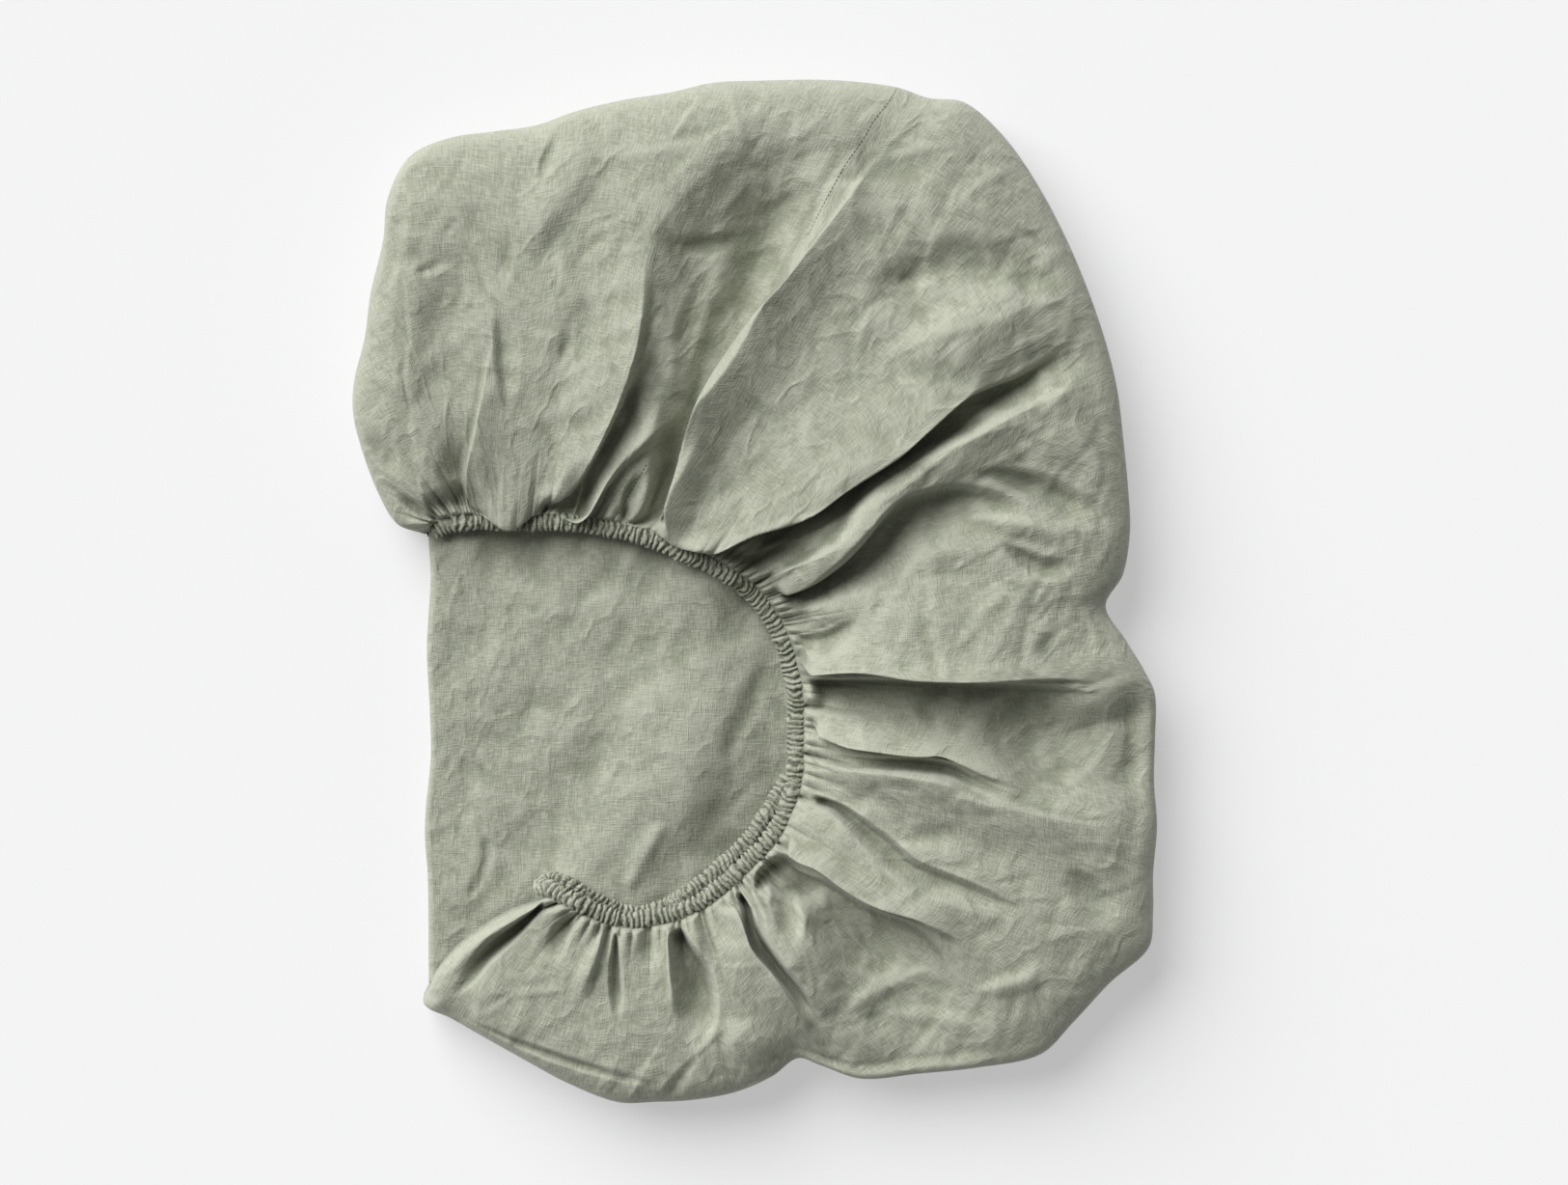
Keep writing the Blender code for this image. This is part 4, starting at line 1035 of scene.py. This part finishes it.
def add_lines(name, lines):
    """A piece of bare edges, from lists of points."""
    points = [tuple(point) for line in lines for point in line]
    ends = np.cumsum([len(line) for line in lines]) - 1
    mesh = bpy.data.meshes.new(name)
    mesh.from_pydata(points, [(i, i + 1) for i in range(len(points) - 1) if i not in ends], [])
    return add_object(name, mesh)


elastic_edge = add_lines("elastic_edge", [hem_points.tolist()])
print("elastic path", round(along(hem_points)[-1], 3), "m")

# %% A node tree for the ruched channel


def start_tree(name, **sizes):
    """A node tree for geometry: a wire to start from, and its named inputs."""
    tree = bpy.data.node_groups.new(name, "GeometryNodeTree")
    face = tree.interface
    face.new_socket("Path", in_out="INPUT", socket_type="NodeSocketGeometry")
    for key, value in sizes.items():
        socket = face.new_socket(key.replace("_", " "), in_out="INPUT", socket_type="NodeSocketFloat")
        socket.default_value = value
    face.new_socket("Mesh", in_out="OUTPUT", socket_type="NodeSocketGeometry")
    given = tree.nodes.new("NodeGroupInput").outputs
    return Wire(tree, None), {socket.name: Wire(tree, socket) for socket in given}


def finish_tree(start, mesh, material):
    mesh = start.out("GeometryNodeRealizeInstances", Geometry=mesh)
    mesh = start.out("GeometryNodeSetMaterial", Geometry=mesh, Material=material)
    start.tree.links.new(mesh.socket, start.tree.nodes.new("NodeGroupOutput").inputs[0])
    return start.tree


def keep(geometry, name, kind, value, domain="POINT"):
    """Stores a value on the points, so that it can be read once the curve is a tube."""
    settings = {"data_type": kind, "domain": domain}
    return value.out("GeometryNodeStoreNamedAttribute", settings, Geometry=geometry, Name=name, Value=value)


def ruched_channel(material):
    sizes = {"Ring_step": 0.00042, "Half_width": 0.0041, "Flatness": 0.66}
    ruches = {"Ruche_pitch": 0.0030, "Ruche_depth": 0.0023, "Slant": 0.35}
    start, given = start_tree("Ruched channel", **sizes, **ruches)
    add = start.out
    curve = add("GeometryNodeMeshToCurve", Mesh=given["Path"])
    curve = add("GeometryNodeResampleCurve", {"mode": "LENGTH"}, Curve=curve, Length=given["Ring step"])
    curve = keep(curve, "run", "FLOAT", add("GeometryNodeSplineParameter", output=1))
    position = add("GeometryNodeInputPosition")
    curve = keep(curve, "middle", "FLOAT_VECTOR", position)
    profile = add("GeometryNodeCurvePrimitiveCircle", Resolution=26, Radius=given["Half width"])
    profile = keep(profile, "turn", "FLOAT", add("GeometryNodeSplineParameter"))
    tube = add("GeometryNodeCurveToMesh", Curve=curve, Profile_Curve=profile, Fill_Caps=True)
    run = add("GeometryNodeInputNamedAttribute", {"data_type": "FLOAT"}, Name="run")
    turn = add("GeometryNodeInputNamedAttribute", {"data_type": "FLOAT"}, Name="turn")
    middle = add("GeometryNodeInputNamedAttribute", {"data_type": "FLOAT_VECTOR"}, Name="middle")
    wander = position.noise(95.0, 1.0, "3D")
    slow = middle.noise(170.0, 1.0, "3D")
    quick = position.noise(330.0, 1.0, "3D")
    phase = run / given["Ruche pitch"] + wander * 2.2 + quick * 1.1 + (turn * 6.2832).sine() * given["Slant"]
    wave = start.maths("POWER", abs((phase * math.pi).sine()), 0.75)
    push = (wave - 0.62) * given["Ruche depth"] + (slow - 0.5) * 0.0030
    away = position.vector("SUBTRACT", _1=middle)
    away = away.vector("ADD", _1=away.vector("NORMALIZE").vector("SCALE", Scale=push))
    flat = add("ShaderNodeCombineXYZ", X=1.0, Y=1.0, Z=given["Flatness"])
    place = middle.vector("ADD", _1=away.vector("MULTIPLY", _1=flat))
    tube = add("GeometryNodeSetPosition", Geometry=tube, Position=place)
    # Low in the grooves between ruches, where the linen paints near-black shade, and high on their crests.
    tube = keep(tube, "wear_and_shade", "FLOAT", (wave - 0.86) * 3.2)
    cloth = add("ShaderNodeCombineXYZ", X=run, Y=turn * 0.024)
    tube = keep(tube, "Cloth", "FLOAT2", cloth, "CORNER")
    tube = add("GeometryNodeSetShadeSmooth", Geometry=tube, Shade_Smooth=True)
    return finish_tree(start, tube, material)


def grown(piece, tree, **sizes):
    """Runs a node tree on a piece and keeps the result as its plain mesh."""
    modifier = piece.modifiers.new(tree.name, "NODES")
    modifier.node_group = tree
    for socket in tree.interface.items_tree:
        key = socket.name.replace(" ", "_")
        if socket.in_out == "INPUT" and key in sizes:
            modifier[socket.identifier] = sizes[key]
    graph = bpy.context.evaluated_depsgraph_get()
    mesh = bpy.data.meshes.new_from_object(piece.evaluated_get(graph))
    piece.modifiers.clear()
    piece.data = mesh
    return piece


# The ruched linen's deep colour is near-black: painted shade in the grooves between the ruches.
ruched_linen = linen("Ruched linen", (0.105, 0.115, 0.078, 1), 0.4)
grown(elastic_edge, ruched_channel(ruched_linen), Ruche_pitch=0.0031)
print("elastic quads", len(elastic_edge.data.polygons))

# %% [markdown]
# ## The corner seam
#
# A fitted sheet's corners are made by sewing two edges of its skirt together. One such seam shows
# twice: near the rim and again close to the hem. It is a row of short stitches that sinks into the
# cloth. The stitches could be modelled one by one, but they all follow a line, so a node tree lays
# a small rounded stitch at even steps along it. The line is dropped onto the cloth from above.

# %% Sew the corner seam
SEAM_LINES = [
    [(930, 93), (920, 110), (905, 130), (893, 150), (876, 175), (862, 200), (850, 222), (838, 246)],
    [(671, 484), (661, 500), (651, 516), (643, 532)],
]


def on_cloth(x, y):
    """The highest point of the cloth at one place of the plan."""
    above = Vector(to_metres(np.array(x), np.array(y), np.array(200.0)).tolist())
    found = [piece.ray_cast(above, Vector((0, 0, -1))) for piece in skirt_pieces]
    return max((tuple(hit[1]) for hit in found if hit[0]), key=lambda point: point[2])


bpy.context.view_layer.update()
seam_places = [evenly(line, int(along(np.array(line, float))[-1] / 3)) for line in SEAM_LINES]
corner_seam = add_lines("corner_seam", [[on_cloth(x, y) for x, y in places] for places in seam_places])


def stitches(material):
    start, given = start_tree("Stitches", Stitch_step=0.0022, Stitch_length=0.0017, Thread=0.00026)
    add, thread = start.out, given["Thread"]
    curve = add("GeometryNodeMeshToCurve", Mesh=given["Path"])
    curve = add("GeometryNodeResampleCurve", {"mode": "LENGTH"}, Curve=curve, Length=given["Stitch step"])
    stitch = add("GeometryNodeMeshUVSphere", Segments=8, Rings=6, Radius=1.0)
    size = add("ShaderNodeCombineXYZ", X=thread, Y=thread, Z=given["Stitch length"] * 0.5)
    turn = add("FunctionNodeAlignRotationToVector", {"axis": "Z"}, Vector=add("GeometryNodeInputTangent"))
    row = add("GeometryNodeInstanceOnPoints", Points=curve, Instance=stitch, Rotation=turn, Scale=size)
    return finish_tree(start, row, material)


thread_paint, _, thread_shader = start_material("Seam thread")
# The thread is far darker than the linen: painted shade along the seam line.
thread_shader.inputs["Base Color"].default_value = (0.085, 0.095, 0.062, 1)
thread_shader.inputs["Roughness"].default_value = 0.85
grown(corner_seam, stitches(thread_paint))
print("seam faces", len(corner_seam.data.polygons))

# %% [markdown]
# ## Attaching the pieces
#
# Each piece is hung under the root body, and the two solids are hidden. The area of each piece of
# cloth is then printed.

cloth_pieces = skirt_pieces + [packet_piece]
for piece in cloth_pieces:
    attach(piece, "root")
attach(elastic_edge, "root")
for piece in cloth_pieces:
    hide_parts("fitted_sheet")
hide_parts("elastic_hem")
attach(corner_seam, "root")


def cloth_area(piece):
    mesh = piece.data
    areas = np.empty(len(mesh.polygons), np.float32)
    mesh.polygons.foreach_get("area", areas)
    return float(areas.sum())


for piece in cloth_pieces:
    area = cloth_area(piece)
    print(piece.name, "area", round(area, 3))
